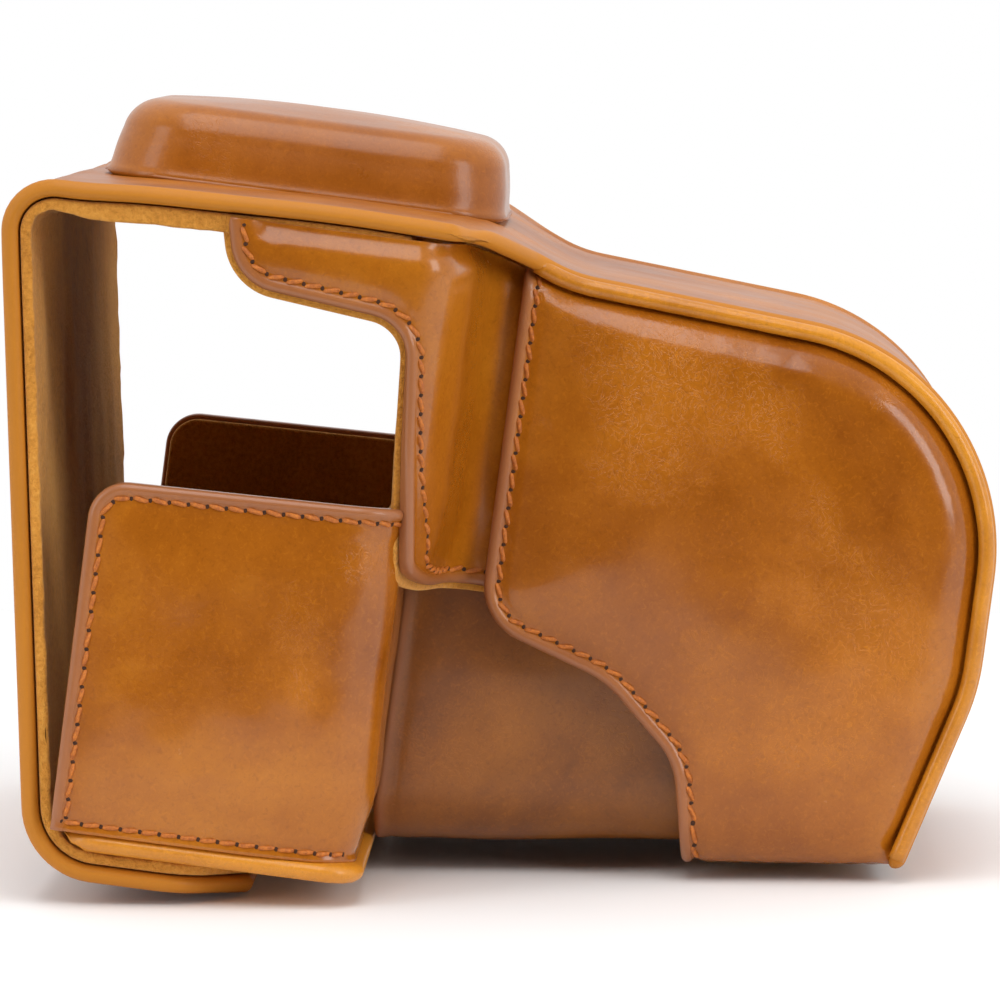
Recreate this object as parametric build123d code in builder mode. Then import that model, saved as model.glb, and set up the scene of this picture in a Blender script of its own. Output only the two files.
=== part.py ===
from build123d import *
from math import cos, sin, radians
import os

# A leather ever ready case for a mirrorless camera, standing closed.  It rests nose-down on the
# end of its back tongue and on the flat underside of its lens box.  Millimetres, +Z up, the lens
# box points along -Y, and the origin is under the middle of the case, on the surface it rests on.

os.makedirs("parts", exist_ok=True)

# ---------------------------------------------------------------- driving dimensions
TILT = 7.3                 # degrees, nose-down lean of the resting case
CASE_BACKSET = 1.32        # case frame's origin behind the middle of the whole case
CASE_LIFT = 2.03           # case frame's origin above the table

LEATHER = 2.0              # outer leather
SUEDE = 1.0                # lining

HALF_WIDTH = 63.0          # half case, to the outside of its side walls
WALL_BACK = -58.8          # back edge of the side walls
BASE_BACK = -57.9
BASE_FRONT = -17.5
BASE_UNDER = -1.6
BASE_TOP = 3.9
BASE_SKIN = 1.4
WALL_TOP = 48.2
CORNER = 5.0               # upright front corners of the half case

COVER_HALF = 62.0          # top strip over the camera body
COVER_TOP = 85.8
COVER_BACK = -67.0         # where the strip becomes the flap
BOX_HALF = 38.2            # lens box, inside of its side panels
PANEL = 2.2
PIPING_R = 1.1
BOX_BACK = -5.3

FLAP_HALF = 61.0
FLAP_SKIN = 1.4
FLAP_BOARD = 0.8
FLAP_LINING = 1.2
TONGUE_UNDER = -5.6
TONGUE_END = -32.0
MAGNET_X = 40.0
MAGNET_F = -36.6
CAP_R = 4.0
CAP_T = 0.6

CRADLE_HALF = 34.8         # cradle that carries the lens, outside
CRADLE_FRONT = 34.0
CRADLE_UNDER = 4.2         # above the table

HUMP_MIDDLE = -38.3
HUMP_LENGTH = 54.6
HUMP_WIDTH = 46.0
HUMP_HEIGHT = 11.4
HUMP_TAPER = 7.0
HUMP_SKIN = 2.0
HUMP_WELT = 0.8            # the flange stands this far out round the hump's foot

SCREW_F = -37.0
SCREW_HEAD_R = 8.0
SCREW_SHANK_R = 5.0
STUD_R = 3.175             # 1/4-20 camera stud
SOCKET_R = 3.2             # 1/4-20 socket for a tripod
SOCKET_DEPTH = 4.2
NOTCH_R = 13.0             # notch in the tongue round the screw

# ---------------------------------------------------------------- the case's own frame
FORWARD = Vector(0, -cos(radians(TILT)), -sin(radians(TILT)))
UP = Vector(0, -sin(radians(TILT)), cos(radians(TILT)))
RIGHT = Vector(-1, 0, 0)
CASE = Plane(origin=(0, CASE_BACKSET, CASE_LIFT), x_dir=RIGHT, z_dir=UP)


def level(height):
    """A plane parallel to the base: sketch x runs right, sketch y forward."""
    return CASE.offset(height)


def side(right):
    """An upright plane seen from the right: sketch x runs forward, sketch y up."""
    return Plane(origin=CASE.from_local_coords(Vector(right, 0, 0)), x_dir=FORWARD, z_dir=RIGHT)


# Outlines in the upright plane, as (forward, up).
STRIP = [(COVER_BACK, COVER_TOP), (-13, COVER_TOP), (0, 80.5), (61, 76.1), (60.9, 32), (53.8, 6.2)]
STRIP_RADII = [12, 20, 31, 30]
FLAP = [(COVER_BACK, COVER_TOP), (-75.8, COVER_TOP), (-61.5, TONGUE_UNDER), (TONGUE_END, TONGUE_UNDER)]
FLAP_RADII = [7, 10]
OPENING = [(-46.2, 86), (-43.6, 75.0), (-20.6, 72.6), (-18.9, 57), (-15.9, 37.6), (-4, 37.2)]
OPENING_RADII = [7, 6, 30, 5]
SCALLOP = [(-6.6, 90), (-6.8, 32.8), (11, 27), (21.5, 17.5), (23.6, 8)]
SCALLOP_RADII = [8, 14, 10]
# Outlines in the level plane, as (right, forward), for the right-hand side.
WALL_PLAN = [(HALF_WIDTH, WALL_BACK), (HALF_WIDTH, BASE_FRONT), (CRADLE_HALF, BASE_FRONT)]
SHOULDER_PLAN = [(COVER_HALF, -50), (COVER_HALF, -17), (BOX_HALF, -10), (BOX_HALF, -0.8)]


def shifted(points, radii, depth):
    """The outline moved to the left of its direction by depth, with its corner radii."""
    steps = [Vector(*b) - Vector(*a) for a, b in zip(points, points[1:])]
    lefts = [Vector(-s.Y, s.X) / s.length for s in steps]
    moved = [Vector(*points[0]) + lefts[0] * depth]
    bends = []
    for corner, before, after, radius in zip(points[1:], lefts, lefts[1:], radii):
        moved.append(Vector(*corner) + (before + after) * (depth / (1 + before.dot(after))))
        turn = 1 if before.X * after.Y - before.Y * after.X > 0 else -1
        bends.append(radius - turn * depth)
    moved.append(Vector(*points[-1]) + lefts[-1] * depth)
    return [(p.X, p.Y) for p in moved], bends


def band(points, radii, near, far):
    """A face between two depths to the left of an outline."""
    outer, outer_radii = shifted(points, radii, near)
    inner, inner_radii = shifted(points, radii, far)
    with BuildSketch() as face:
        with BuildLine():
            FilletPolyline(*outer, radius=outer_radii)
            Line(outer[-1], inner[-1])
            FilletPolyline(*inner[::-1], radius=inner_radii[::-1])
            Line(inner[0], outer[0])
        make_face()
    return face.sketch


def region(points, radii, depth, *closing):
    """The face enclosed by a shifted outline and the straight lines back to its start."""
    edge, bends = shifted(points, radii, depth)
    with BuildSketch() as face:
        with BuildLine():
            FilletPolyline(*edge, radius=bends)
            Polyline(edge[-1], *closing, edge[0])
        make_face()
    return face.sketch


def turned(points, hand):
    """A plan outline for the right-hand side (hand 1) or the left-hand side (hand -1)."""
    return [(hand * right, forward) for right, forward in points]


HANDS = [("right", 1), ("left", -1)]


def finish(part, label):
    part.label = label
    export_step(part, f"parts/{label}.step")


# ---------------------------------------------------------------- half case: base
BASE_MIDDLE = (BASE_BACK + BASE_FRONT) / 2
BOARD_WIDTH = 2 * (HALF_WIDTH - BASE_SKIN)
BOARD_DEPTH = BASE_FRONT - BASE_BACK - 2 * CORNER
HEAD_SEAT = 1.4            # top of the recess for the screw head
STRIKE_T = 0.8
SEAT_GAP = 0.2


def slab(low, high, width, depth, corner, middle):
    """A level slab with rounded upright corners, centred across the case."""
    with BuildPart() as block:
        with BuildSketch(level(low)):
            with Locations((0, middle)):
                RectangleRounded(width, depth, corner)
        extrude(amount=high - low)
    return block.part


def post(radius, low, high, *centres):
    """Upright round posts at (right, forward) centres, about the screw if none are given."""
    with BuildPart() as block:
        with BuildSketch(level(low)):
            with Locations(*(centres or [(0, SCREW_F)])):
                Circle(radius)
        extrude(amount=high - low)
    return block.part


MAGNET_PLACES = [(MAGNET_X, MAGNET_F), (-MAGNET_X, MAGNET_F)]

with BuildPart() as base_leather:
    with BuildSketch(side(0)):
        with BuildLine():
            FilletPolyline((BASE_BACK, BASE_TOP), (BASE_BACK, BASE_UNDER), (BASE_FRONT, BASE_UNDER),
                           (BASE_FRONT, BASE_TOP), radius=[CORNER, 2.5])
            Line((BASE_FRONT, BASE_TOP), (BASE_BACK, BASE_TOP))
        make_face()
    extrude(amount=HALF_WIDTH, both=True)
    add(slab(BASE_UNDER - 1, BASE_TOP + 1, 2 * HALF_WIDTH, BASE_FRONT - BASE_BACK, CORNER, BASE_MIDDLE),
        mode=Mode.INTERSECT)
    add(slab(BASE_UNDER + BASE_SKIN, BASE_TOP + 1, BOARD_WIDTH, BOARD_DEPTH, 3, BASE_MIDDLE),
        mode=Mode.SUBTRACT)
    add(post(SCREW_HEAD_R + 1.2, BASE_UNDER - 1, BASE_TOP), mode=Mode.SUBTRACT)
    add(post(CAP_R + 1, BASE_UNDER, BASE_UNDER + STRIKE_T, *MAGNET_PLACES), mode=Mode.SUBTRACT)

with BuildPart() as base_board:
    add(slab(BASE_UNDER + BASE_SKIN, BASE_TOP - SUEDE, BOARD_WIDTH, BOARD_DEPTH, 3, BASE_MIDDLE))
    add(post(SCREW_HEAD_R + SEAT_GAP, BASE_UNDER, HEAD_SEAT), mode=Mode.SUBTRACT)
    add(post(SCREW_SHANK_R + SEAT_GAP, BASE_UNDER, BASE_TOP), mode=Mode.SUBTRACT)

with BuildPart() as base_lining:
    add(slab(BASE_TOP - SUEDE, BASE_TOP, BOARD_WIDTH, BOARD_DEPTH, 3, BASE_MIDDLE))
    add(post(SCREW_SHANK_R + SEAT_GAP, BASE_UNDER, BASE_TOP), mode=Mode.SUBTRACT)

# A brass ring lines the mouth of the screw's recess in the leather.
with BuildPart() as screw_escutcheon:
    add(post(SCREW_HEAD_R + 1.2, BASE_UNDER, BASE_UNDER + BASE_SKIN))
    add(post(SCREW_HEAD_R + SEAT_GAP, BASE_UNDER - 1, BASE_TOP), mode=Mode.SUBTRACT)

# Two steel discs let into the base catch the magnets of the tongue.
with BuildPart() as strike_plates:
    add(post(CAP_R + 1, BASE_UNDER, BASE_UNDER + STRIKE_T, *MAGNET_PLACES))

# ---------------------------------------------------------------- half case: walls
def wall_layer(hand, near, far, inset):
    """One layer of a side wall and its share of the front, upper back corner rounded."""
    back = WALL_BACK + inset
    front = BASE_FRONT + 1
    top = WALL_TOP - inset
    with BuildPart() as wall:
        with BuildSketch(level(BASE_TOP)):
            add(band(turned(WALL_PLAN, hand), [CORNER], hand * near, hand * far))
        extrude(amount=WALL_TOP - BASE_TOP)
        with BuildSketch(side(0)):
            with BuildLine():
                FilletPolyline((back, BASE_TOP), (back, top), (front, top), radius=CORNER)
                Polyline((front, top), (front, BASE_TOP), (back, BASE_TOP))
            make_face()
        extrude(amount=HALF_WIDTH + 1, both=True, mode=Mode.INTERSECT)
    return wall.part


handed = []
for hand_name, hand in HANDS:
    wall_leather = wall_layer(hand, 0, LEATHER, 0)
    wall_leather.label = f"wall_leather_{hand_name}"
    wall_lining = wall_layer(hand, LEATHER, LEATHER + SUEDE, 0.6)
    wall_lining.label = f"wall_lining_{hand_name}"
    handed += [wall_leather, wall_lining]

# ---------------------------------------------------------------- half case: lens cradle
# A trough with a level underside, in front of the base, under the sides of the lens.
CRADLE_SECTION = [(CRADLE_HALF, 60), (CRADLE_HALF, CRADLE_UNDER), (-CRADLE_HALF, CRADLE_UNDER),
                  (-CRADLE_HALF, 60)]
CRADLE_SIDE = [(BASE_FRONT, -4), (CRADLE_FRONT, 0), (CRADLE_FRONT, 21), (24, 25), (-4, 43),
               (BASE_FRONT, 46)]
ACROSS = Plane(origin=(0, 40, 0), x_dir=(1, 0, 0), z_dir=(0, -1, 0))


def cradle_layer(near, far):
    with BuildPart() as trough:
        with BuildSketch(ACROSS):
            add(band(CRADLE_SECTION, [8, 8], -near, -far))
        extrude(amount=110)
        with BuildSketch(side(0)):
            with BuildLine():
                Polyline(*CRADLE_SIDE, close=True)
            make_face()
        extrude(amount=HALF_WIDTH, both=True, mode=Mode.INTERSECT)
    return trough.part


with BuildPart() as cradle_leather:
    add(cradle_layer(0, LEATHER))

with BuildPart() as cradle_lining:
    add(cradle_layer(LEATHER, LEATHER + SUEDE))

# ---------------------------------------------------------------- tripod screw
SHANK_TOP = BASE_TOP + 0.1
SCREW_LOW = BASE_UNDER + 0.2
STUD_LENGTH = 4.5

with BuildPart() as tripod_screw:
    add(post(SCREW_HEAD_R, SCREW_LOW, HEAD_SEAT - 0.1))
    add(post(SCREW_SHANK_R, HEAD_SEAT - 0.1, SHANK_TOP))
    add(post(STUD_R, SHANK_TOP, SHANK_TOP + STUD_LENGTH))
    chamfer(tripod_screw.faces().sort_by(Axis(CASE.origin, UP))[-1].edges(), 0.5)
    # A coin slot crosses the head, and the tripod socket is in its middle.
    add(slab(SCREW_LOW - 1, SCREW_LOW + 1.1, 2 * SCREW_HEAD_R + 1, 1.6, 0.1, SCREW_F), mode=Mode.SUBTRACT)
    add(post(SOCKET_R, SCREW_LOW - 1, SCREW_LOW + SOCKET_DEPTH), mode=Mode.SUBTRACT)

with BuildPart() as screw_clip:
    add(post(6.6, SHANK_TOP, SHANK_TOP + 0.6))
    add(post(STUD_R, SHANK_TOP - 1, SHANK_TOP + 1), mode=Mode.SUBTRACT)

# ---------------------------------------------------------------- cover: top strip
def beside_lens_box(width):
    """The space beside the lens box, in front of the shoulders, that a strip layer leaves free."""
    with BuildPart() as space:
        for _, hand in HANDS:
            with BuildSketch(level(-20)):
                with BuildLine():
                    Polyline((hand * 70, -16.5), (hand * COVER_HALF, -16.5), (hand * width, BOX_BACK),
                             (hand * width, 80), (hand * 70, 80), (hand * 70, -16.5))
                make_face()
            extrude(amount=140)
    return space.part


def hump_opening():
    return slab(COVER_TOP - 10, COVER_TOP + 2, HUMP_WIDTH - 2 * HUMP_SKIN - 4,
                HUMP_LENGTH - 2 * HUMP_SKIN - 4, 6, HUMP_MIDDLE)


BOARD = 1.2
BODY_TOP_BACK = COVER_BACK + 0.8
BODY_TOP_FRONT = -21
BODY_TOP_DEPTH = BODY_TOP_FRONT - BODY_TOP_BACK
BODY_TOP_MIDDLE = (BODY_TOP_FRONT + BODY_TOP_BACK) / 2
BOARD_LOW = COVER_TOP - LEATHER - BOARD

with BuildPart() as top_leather:
    with BuildSketch(side(0)):
        add(band(STRIP, STRIP_RADII, 0, -LEATHER))
    extrude(amount=COVER_HALF, both=True)
    add(beside_lens_box(BOX_HALF), mode=Mode.SUBTRACT)
    add(hump_opening(), mode=Mode.SUBTRACT)

with BuildPart() as top_board:
    add(slab(BOARD_LOW, BOARD_LOW + BOARD, 2 * COVER_HALF - 6.4, BODY_TOP_DEPTH, 1, BODY_TOP_MIDDLE))
    add(hump_opening(), mode=Mode.SUBTRACT)

with BuildPart() as top_lining:
    add(slab(BOARD_LOW - SUEDE, BOARD_LOW, 2 * COVER_HALF - 6.4, BODY_TOP_DEPTH, 1, BODY_TOP_MIDDLE))
    add(hump_opening(), mode=Mode.SUBTRACT)

BOX_TOP = [(3, 80.28), *STRIP[3:]]

with BuildPart() as lens_top_lining:
    with BuildSketch(side(0)):
        add(band(BOX_TOP, STRIP_RADII[2:], -LEATHER - 0.05, -LEATHER - SUEDE))
    extrude(amount=BOX_HALF - SUEDE - 0.1, both=True)

# ---------------------------------------------------------------- cover: moulded hump
def hump_block(inset, height):
    """The tapered block of the hump, inset on its sides."""
    with BuildPart() as block:
        with BuildSketch(level(COVER_TOP)):
            with Locations((0, HUMP_MIDDLE)):
                RectangleRounded(HUMP_WIDTH - 2 * inset, HUMP_LENGTH - 2 * inset, 10 - inset)
        extrude(amount=height, taper=HUMP_TAPER)
        fillet(block.faces().sort_by(Axis(CASE.origin, UP))[-1].edges(), 5 - inset)
    return block.part


with BuildPart() as hump_leather:
    add(hump_block(0, HUMP_HEIGHT))
    add(hump_block(HUMP_SKIN, HUMP_HEIGHT - HUMP_SKIN), mode=Mode.SUBTRACT)

with BuildPart() as hump_lining:
    add(slab(COVER_TOP + HUMP_HEIGHT - HUMP_SKIN - 0.9, COVER_TOP + HUMP_HEIGHT - HUMP_SKIN - 0.1,
             HUMP_WIDTH - 2 * HUMP_SKIN - 8, HUMP_LENGTH - 2 * HUMP_SKIN - 8, 4, HUMP_MIDDLE))

with BuildPart() as hump_flange:
    add(slab(COVER_TOP, COVER_TOP + 1.2, HUMP_WIDTH + 2 * HUMP_WELT, HUMP_LENGTH + 2 * HUMP_WELT,
             10 + HUMP_WELT, HUMP_MIDDLE))
    add(slab(COVER_TOP - 1, COVER_TOP + 3, HUMP_WIDTH + 0.1, HUMP_LENGTH + 0.1, 10.05, HUMP_MIDDLE),
        mode=Mode.SUBTRACT)


# ---------------------------------------------------------------- cover: shoulders
def table_line(forward, height):
    """A point of the upright plane at a height above the table."""
    up = (height - CASE_LIFT + forward * sin(radians(TILT))) / cos(radians(TILT))
    return (forward, up)


def shoulder_layer(hand, near, far, inset):
    with BuildPart() as shoulder:
        with BuildSketch(level(30)):
            add(band(turned(SHOULDER_PLAN, hand), [4, 3], hand * near, hand * far))
        extrude(amount=60)
        with BuildSketch(side(0)):
            add(region(STRIP, STRIP_RADII, -LEATHER - 0.1, (53, -8), (COVER_BACK, -8)))
            add(region(OPENING, OPENING_RADII, inset, (0, 37.2), (0, 95), (OPENING[0][0], 95)),
                mode=Mode.INTERSECT)
        extrude(amount=hand * (HALF_WIDTH + 2), mode=Mode.INTERSECT)
    return shoulder.part


for hand_name, hand in HANDS:
    shoulder_leather = shoulder_layer(hand, 0, LEATHER, 0)
    shoulder_leather.label = f"shoulder_leather_{hand_name}"
    shoulder_lining = shoulder_layer(hand, LEATHER, LEATHER + SUEDE, 0.6)
    shoulder_lining.label = f"shoulder_lining_{hand_name}"
    handed += [shoulder_leather, shoulder_lining]


# ---------------------------------------------------------------- cover: lens box
def panel_layer(hand, near, thickness, rim, inset, foot):
    with BuildPart() as panel:
        with BuildSketch(side(hand * near)):
            add(region(STRIP, STRIP_RADII, -rim, table_line(57, -3), (COVER_BACK, -8)))
            add(region(SCALLOP, SCALLOP_RADII, inset, table_line(24.6 + inset, foot), table_line(70, foot),
                       (70, 90)), mode=Mode.INTERSECT)
        extrude(amount=hand * thickness)
    return panel.part


def piping_cord(hand):
    cord_points, cord_radii = shifted([(-5.0, 82.54), *STRIP[2:]], STRIP_RADII[1:], -PIPING_R - 0.05)
    with BuildPart() as cord:
        with BuildLine(side(hand * (BOX_HALF + 0.05 + PIPING_R))) as route:
            FilletPolyline(*cord_points, radius=cord_radii)
        with BuildSketch(Plane(origin=route.line @ 0, z_dir=route.line % 0)):
            Circle(PIPING_R)
        sweep()
    return cord.part


for hand_name, hand in HANDS:
    lens_panel = panel_layer(hand, BOX_HALF + 0.05, PANEL, LEATHER + 0.35, 0, 0.3)
    lens_panel.label = f"lens_panel_{hand_name}"
    lens_lining = panel_layer(hand, BOX_HALF - SUEDE, SUEDE, LEATHER + SUEDE + 0.1, 6.2, 3.4)
    lens_lining.label = f"lens_lining_{hand_name}"
    piping = piping_cord(hand)
    piping.label = f"piping_{hand_name}"
    handed += [lens_panel, lens_lining, piping]

BOTTOM_BACK = 25.0
BOTTOM_FRONT = 50.2


def bottom_layer(low, high, half_width):
    with BuildPart() as floor:
        with BuildSketch(side(0)):
            with BuildLine():
                Polyline(table_line(BOTTOM_BACK, low), table_line(BOTTOM_FRONT, low),
                         table_line(BOTTOM_FRONT, high), table_line(BOTTOM_BACK, high), close=True)
            make_face()
        extrude(amount=half_width, both=True)
    return floor.part


with BuildPart() as lens_bottom_leather:
    add(bottom_layer(0, LEATHER, BOX_HALF))

with BuildPart() as lens_bottom_lining:
    add(bottom_layer(LEATHER, LEATHER + SUEDE, BOX_HALF - SUEDE - 0.1))

# A foam pad behind the front of the lens box keeps the lens off the leather.
with BuildPart() as front_pad:
    with BuildSketch(side(0)):
        with Locations((55.2, 44)):
            Rectangle(3.2, 22)
    extrude(amount=22, both=True)

# ---------------------------------------------------------------- flap
MAGNET_R = 3.5
MAGNET_LOW = TONGUE_UNDER + 0.6
MAGNET_HIGH = TONGUE_UNDER + FLAP_SKIN + FLAP_BOARD


def flap_layer(near, far, half_width):
    """One layer of the flap, with the round notch that leaves the screw in reach."""
    with BuildPart() as layer:
        with BuildSketch(side(0)):
            add(band(FLAP, FLAP_RADII, near, far))
        extrude(amount=half_width, both=True)
        with BuildSketch(level(TONGUE_UNDER - 1)):
            with Locations((0, SCREW_F)):
                Circle(NOTCH_R)
            with Locations((0, SCREW_F + 10)):
                Rectangle(2 * NOTCH_R, 20)
        extrude(amount=6, mode=Mode.SUBTRACT)
    return layer.part


with BuildPart() as flap_leather:
    add(flap_layer(0, FLAP_SKIN, FLAP_HALF))
    add(post(MAGNET_R, MAGNET_LOW, MAGNET_HIGH, *MAGNET_PLACES), mode=Mode.SUBTRACT)

with BuildPart() as flap_board:
    add(flap_layer(FLAP_SKIN, FLAP_SKIN + FLAP_BOARD, FLAP_HALF - 1.5))
    add(post(MAGNET_R, MAGNET_LOW, MAGNET_HIGH, *MAGNET_PLACES), mode=Mode.SUBTRACT)

with BuildPart() as flap_lining:
    add(flap_layer(FLAP_SKIN + FLAP_BOARD, FLAP_SKIN + FLAP_BOARD + FLAP_LINING, FLAP_HALF - 0.5))

with BuildPart() as magnets:
    add(post(MAGNET_R, MAGNET_LOW, MAGNET_HIGH, *MAGNET_PLACES))

with BuildPart() as magnet_caps:
    add(post(CAP_R, TONGUE_UNDER - CAP_T, TONGUE_UNDER, *MAGNET_PLACES))

# ---------------------------------------------------------------- export
SINGLE = {
    "base_leather": base_leather, "base_board": base_board, "base_lining": base_lining,
    "screw_escutcheon": screw_escutcheon, "strike_plates": strike_plates,
    "cradle_leather": cradle_leather, "cradle_lining": cradle_lining,
    "tripod_screw": tripod_screw, "screw_clip": screw_clip,
    "top_leather": top_leather, "top_board": top_board, "top_lining": top_lining,
    "lens_top_lining": lens_top_lining,
    "hump_leather": hump_leather, "hump_lining": hump_lining, "hump_flange": hump_flange,
    "lens_bottom_leather": lens_bottom_leather, "lens_bottom_lining": lens_bottom_lining,
    "front_pad": front_pad,
    "flap_leather": flap_leather, "flap_board": flap_board, "flap_lining": flap_lining,
    "magnets": magnets, "magnet_caps": magnet_caps,
}
for node, builder in SINGLE.items():
    finish(builder.part, node)
for piece in handed:
    finish(piece, piece.label)
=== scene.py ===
from math import atan2, cos, pi, radians, sin, tan

import bmesh
import bpy
import numpy as np
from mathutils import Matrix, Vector, noise
from mathutils.geometry import delaunay_2d_cdt


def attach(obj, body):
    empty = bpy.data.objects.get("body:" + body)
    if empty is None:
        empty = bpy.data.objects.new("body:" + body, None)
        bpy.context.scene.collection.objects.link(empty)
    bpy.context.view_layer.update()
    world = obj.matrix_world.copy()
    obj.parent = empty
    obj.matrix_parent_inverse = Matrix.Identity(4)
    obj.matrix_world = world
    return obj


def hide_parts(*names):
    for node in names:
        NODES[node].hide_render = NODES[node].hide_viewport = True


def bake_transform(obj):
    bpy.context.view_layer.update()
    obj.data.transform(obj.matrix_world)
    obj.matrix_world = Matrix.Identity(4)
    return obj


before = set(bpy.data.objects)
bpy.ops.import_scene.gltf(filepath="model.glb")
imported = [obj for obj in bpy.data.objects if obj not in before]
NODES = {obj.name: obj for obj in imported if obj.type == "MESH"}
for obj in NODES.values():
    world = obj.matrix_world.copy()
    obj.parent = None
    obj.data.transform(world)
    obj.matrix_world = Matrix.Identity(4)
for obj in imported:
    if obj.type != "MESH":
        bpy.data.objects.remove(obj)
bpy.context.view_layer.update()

# ---------------------------------------------------------------- the case's own frame
# Lengths are in millimetres in the case frame (right, forward, up); meshes are made in metres.
TILT = radians(7.3)
BACKSET = 1.32
LIFT = 2.03


def row(points):
    """Case-frame millimetres to row-frame metres."""
    r, f, h = np.asarray(points, float).reshape(-1, 3).T
    y = BACKSET - f * cos(TILT) - h * sin(TILT)
    z = LIFT - f * sin(TILT) + h * cos(TILT)
    return np.column_stack([-r, y, z]) / 1000


def smoothstep(a, b, x):
    """0 up to a, 1 beyond b (or the other way round when b is less than a), smooth between."""
    t = np.clip((np.asarray(x, float) - a) / (b - a), 0, 1)
    return t * t * (3 - 2 * t)


def bell(x, width):
    """A smooth bump 1 high at 0."""
    return np.exp(-((np.asarray(x, float) / width) ** 2))


# ---------------------------------------------------------------- outlines
def smooth_path(points, radii, step=1.5, arc_step=0.9):
    """The polyline with its corners rounded, as closely spaced points."""
    points = [np.array(p, float) for p in points]
    out = [points[0]]
    for before, corner, after, radius in zip(points, points[1:], points[2:], radii):
        a = (before - corner) / np.linalg.norm(before - corner)
        b = (after - corner) / np.linalg.norm(after - corner)
        half = np.arccos(np.clip(a @ b, -1, 1)) / 2
        if radius <= 0 or half > pi / 2 - 1e-3:
            out.append(corner)
            continue
        reach = radius / np.tan(half)
        middle = corner + (a + b) / np.linalg.norm(a + b) * radius / np.sin(half)
        start, end = corner + a * reach, corner + b * reach
        t0 = atan2(*(start - middle)[::-1])
        sweep = (atan2(*(end - middle)[::-1]) - t0 + pi) % (2 * pi) - pi
        count = max(4, int(abs(sweep) * radius / arc_step))
        for i in range(count + 1):
            t = t0 + sweep * i / count
            out.append(middle + radius * np.array([cos(t), sin(t)]))
    out.append(points[-1])
    return spaced(np.array(out), step)


def spaced(path, step):
    """The polyline with points added along its longer spans."""
    path = np.asarray(path, float)
    out = [path[0]]
    for a, b in zip(path, path[1:]):
        count = max(1, int(np.ceil(np.linalg.norm(b - a) / step)))
        if np.linalg.norm(b - a) < 1e-6:
            continue
        out += [a + (b - a) * i / count for i in range(1, count + 1)]
    return np.array(out)


class Route:
    """A polyline by arc length: place, direction and left-hand normal.  It runs on past its ends."""

    def __init__(self, path):
        self.path = np.asarray(path, float)
        steps = np.linalg.norm(np.diff(self.path, axis=0), axis=1)
        self.s = np.concatenate([[0], np.cumsum(steps)])
        self.length = self.s[-1]

    def at(self, s):
        s = np.asarray(s, float)
        inside = np.clip(s, 0, self.length)
        place = np.column_stack([np.interp(inside, self.s, self.path[:, i]) for i in (0, 1)])
        reach = 0.6            # the direction is taken over this much on each side
        ahead, behind = np.clip(inside + reach, 0, self.length), np.clip(inside - reach, 0, self.length)
        t = np.column_stack([np.interp(ahead, self.s, axis) - np.interp(behind, self.s, axis)
                             for axis in self.path.T])
        t /= np.linalg.norm(t, axis=1)[:, None]
        place = place + t * (s - inside)[:, None]
        return place, t, np.column_stack([-t[:, 1], t[:, 0]])

    def where(self, column, value):
        """Arc length at which a coordinate that only grows or only falls reaches a value."""
        c = self.path[:, column]
        order = slice(None) if c[-1] > c[0] else slice(None, None, -1)
        return np.interp(value, c[order], self.s[order])


def raised(route, s, height):
    """Places at arc lengths of a route, moved to its left by the heights."""
    place, _, left = route.at(s)
    return place + left * np.asarray(height)[:, None]


def offset(path, distance, closed=False):
    """The polyline moved to its left."""
    path = np.asarray(path, float)
    if closed:
        before, after = path - np.roll(path, 1, 0), np.roll(path, -1, 0) - path
    else:
        d = np.diff(path, axis=0)
        before, after = np.vstack([d[:1], d]), np.vstack([d, d[-1:]])
    n0 = np.column_stack([-before[:, 1], before[:, 0]]) / np.linalg.norm(before, axis=1)[:, None]
    n1 = np.column_stack([-after[:, 1], after[:, 0]]) / np.linalg.norm(after, axis=1)[:, None]
    scale = np.maximum(1 + (n0 * n1).sum(1), 0.6)
    return path + (n0 + n1) / scale[:, None] * distance


def away(points, path, closed=True):
    """Distance of each point from the polyline."""
    points, path = np.asarray(points, float), np.asarray(path, float)
    a = path
    b = np.roll(path, -1, 0) if closed else path[1:]
    a = a if closed else path[:-1]
    best = np.full(len(points), 1e9)
    span = b - a
    size = np.maximum((span ** 2).sum(1), 1e-12)
    for i in range(0, len(points), 2000):
        p = points[i:i + 2000, None, :]
        t = np.clip(((p - a) * span).sum(2) / size, 0, 1)
        best[i:i + 2000] = np.sqrt((((p - a - t[..., None] * span) ** 2).sum(2)).min(1))
    return best


def within(points, path):
    """Which points are inside the closed polyline."""
    points, path = np.asarray(points, float), np.asarray(path, float)
    x, y = points[:, 0], points[:, 1]
    inside = np.zeros(len(points), bool)
    for (x0, y0), (x1, y1) in zip(path, np.roll(path, -1, 0)):
        if y0 == y1:
            continue
        crosses = (y0 > y) != (y1 > y)
        inside ^= crosses & (x < (x1 - x0) * (y - y0) / (y1 - y0) + x0)
    return inside


def turning(path):
    """The closed outline, anticlockwise and without doubled points."""
    path = np.asarray(path, float)
    keep = np.linalg.norm(path - np.roll(path, 1, 0), axis=1) > 0.05
    path = path[keep]
    x, y = path.T
    area = (x * np.roll(y, -1) - y * np.roll(x, -1)).sum()
    return path if area > 0 else path[::-1]


def ripple(points, scale, seed):
    """Smooth unevenness between -1 and 1 at places in millimetres."""
    places = [Vector((p[0] / scale + seed, p[1] / scale - seed, seed * 1.7)) for p in points]
    return np.array([noise.noise(place) for place in places])


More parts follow.
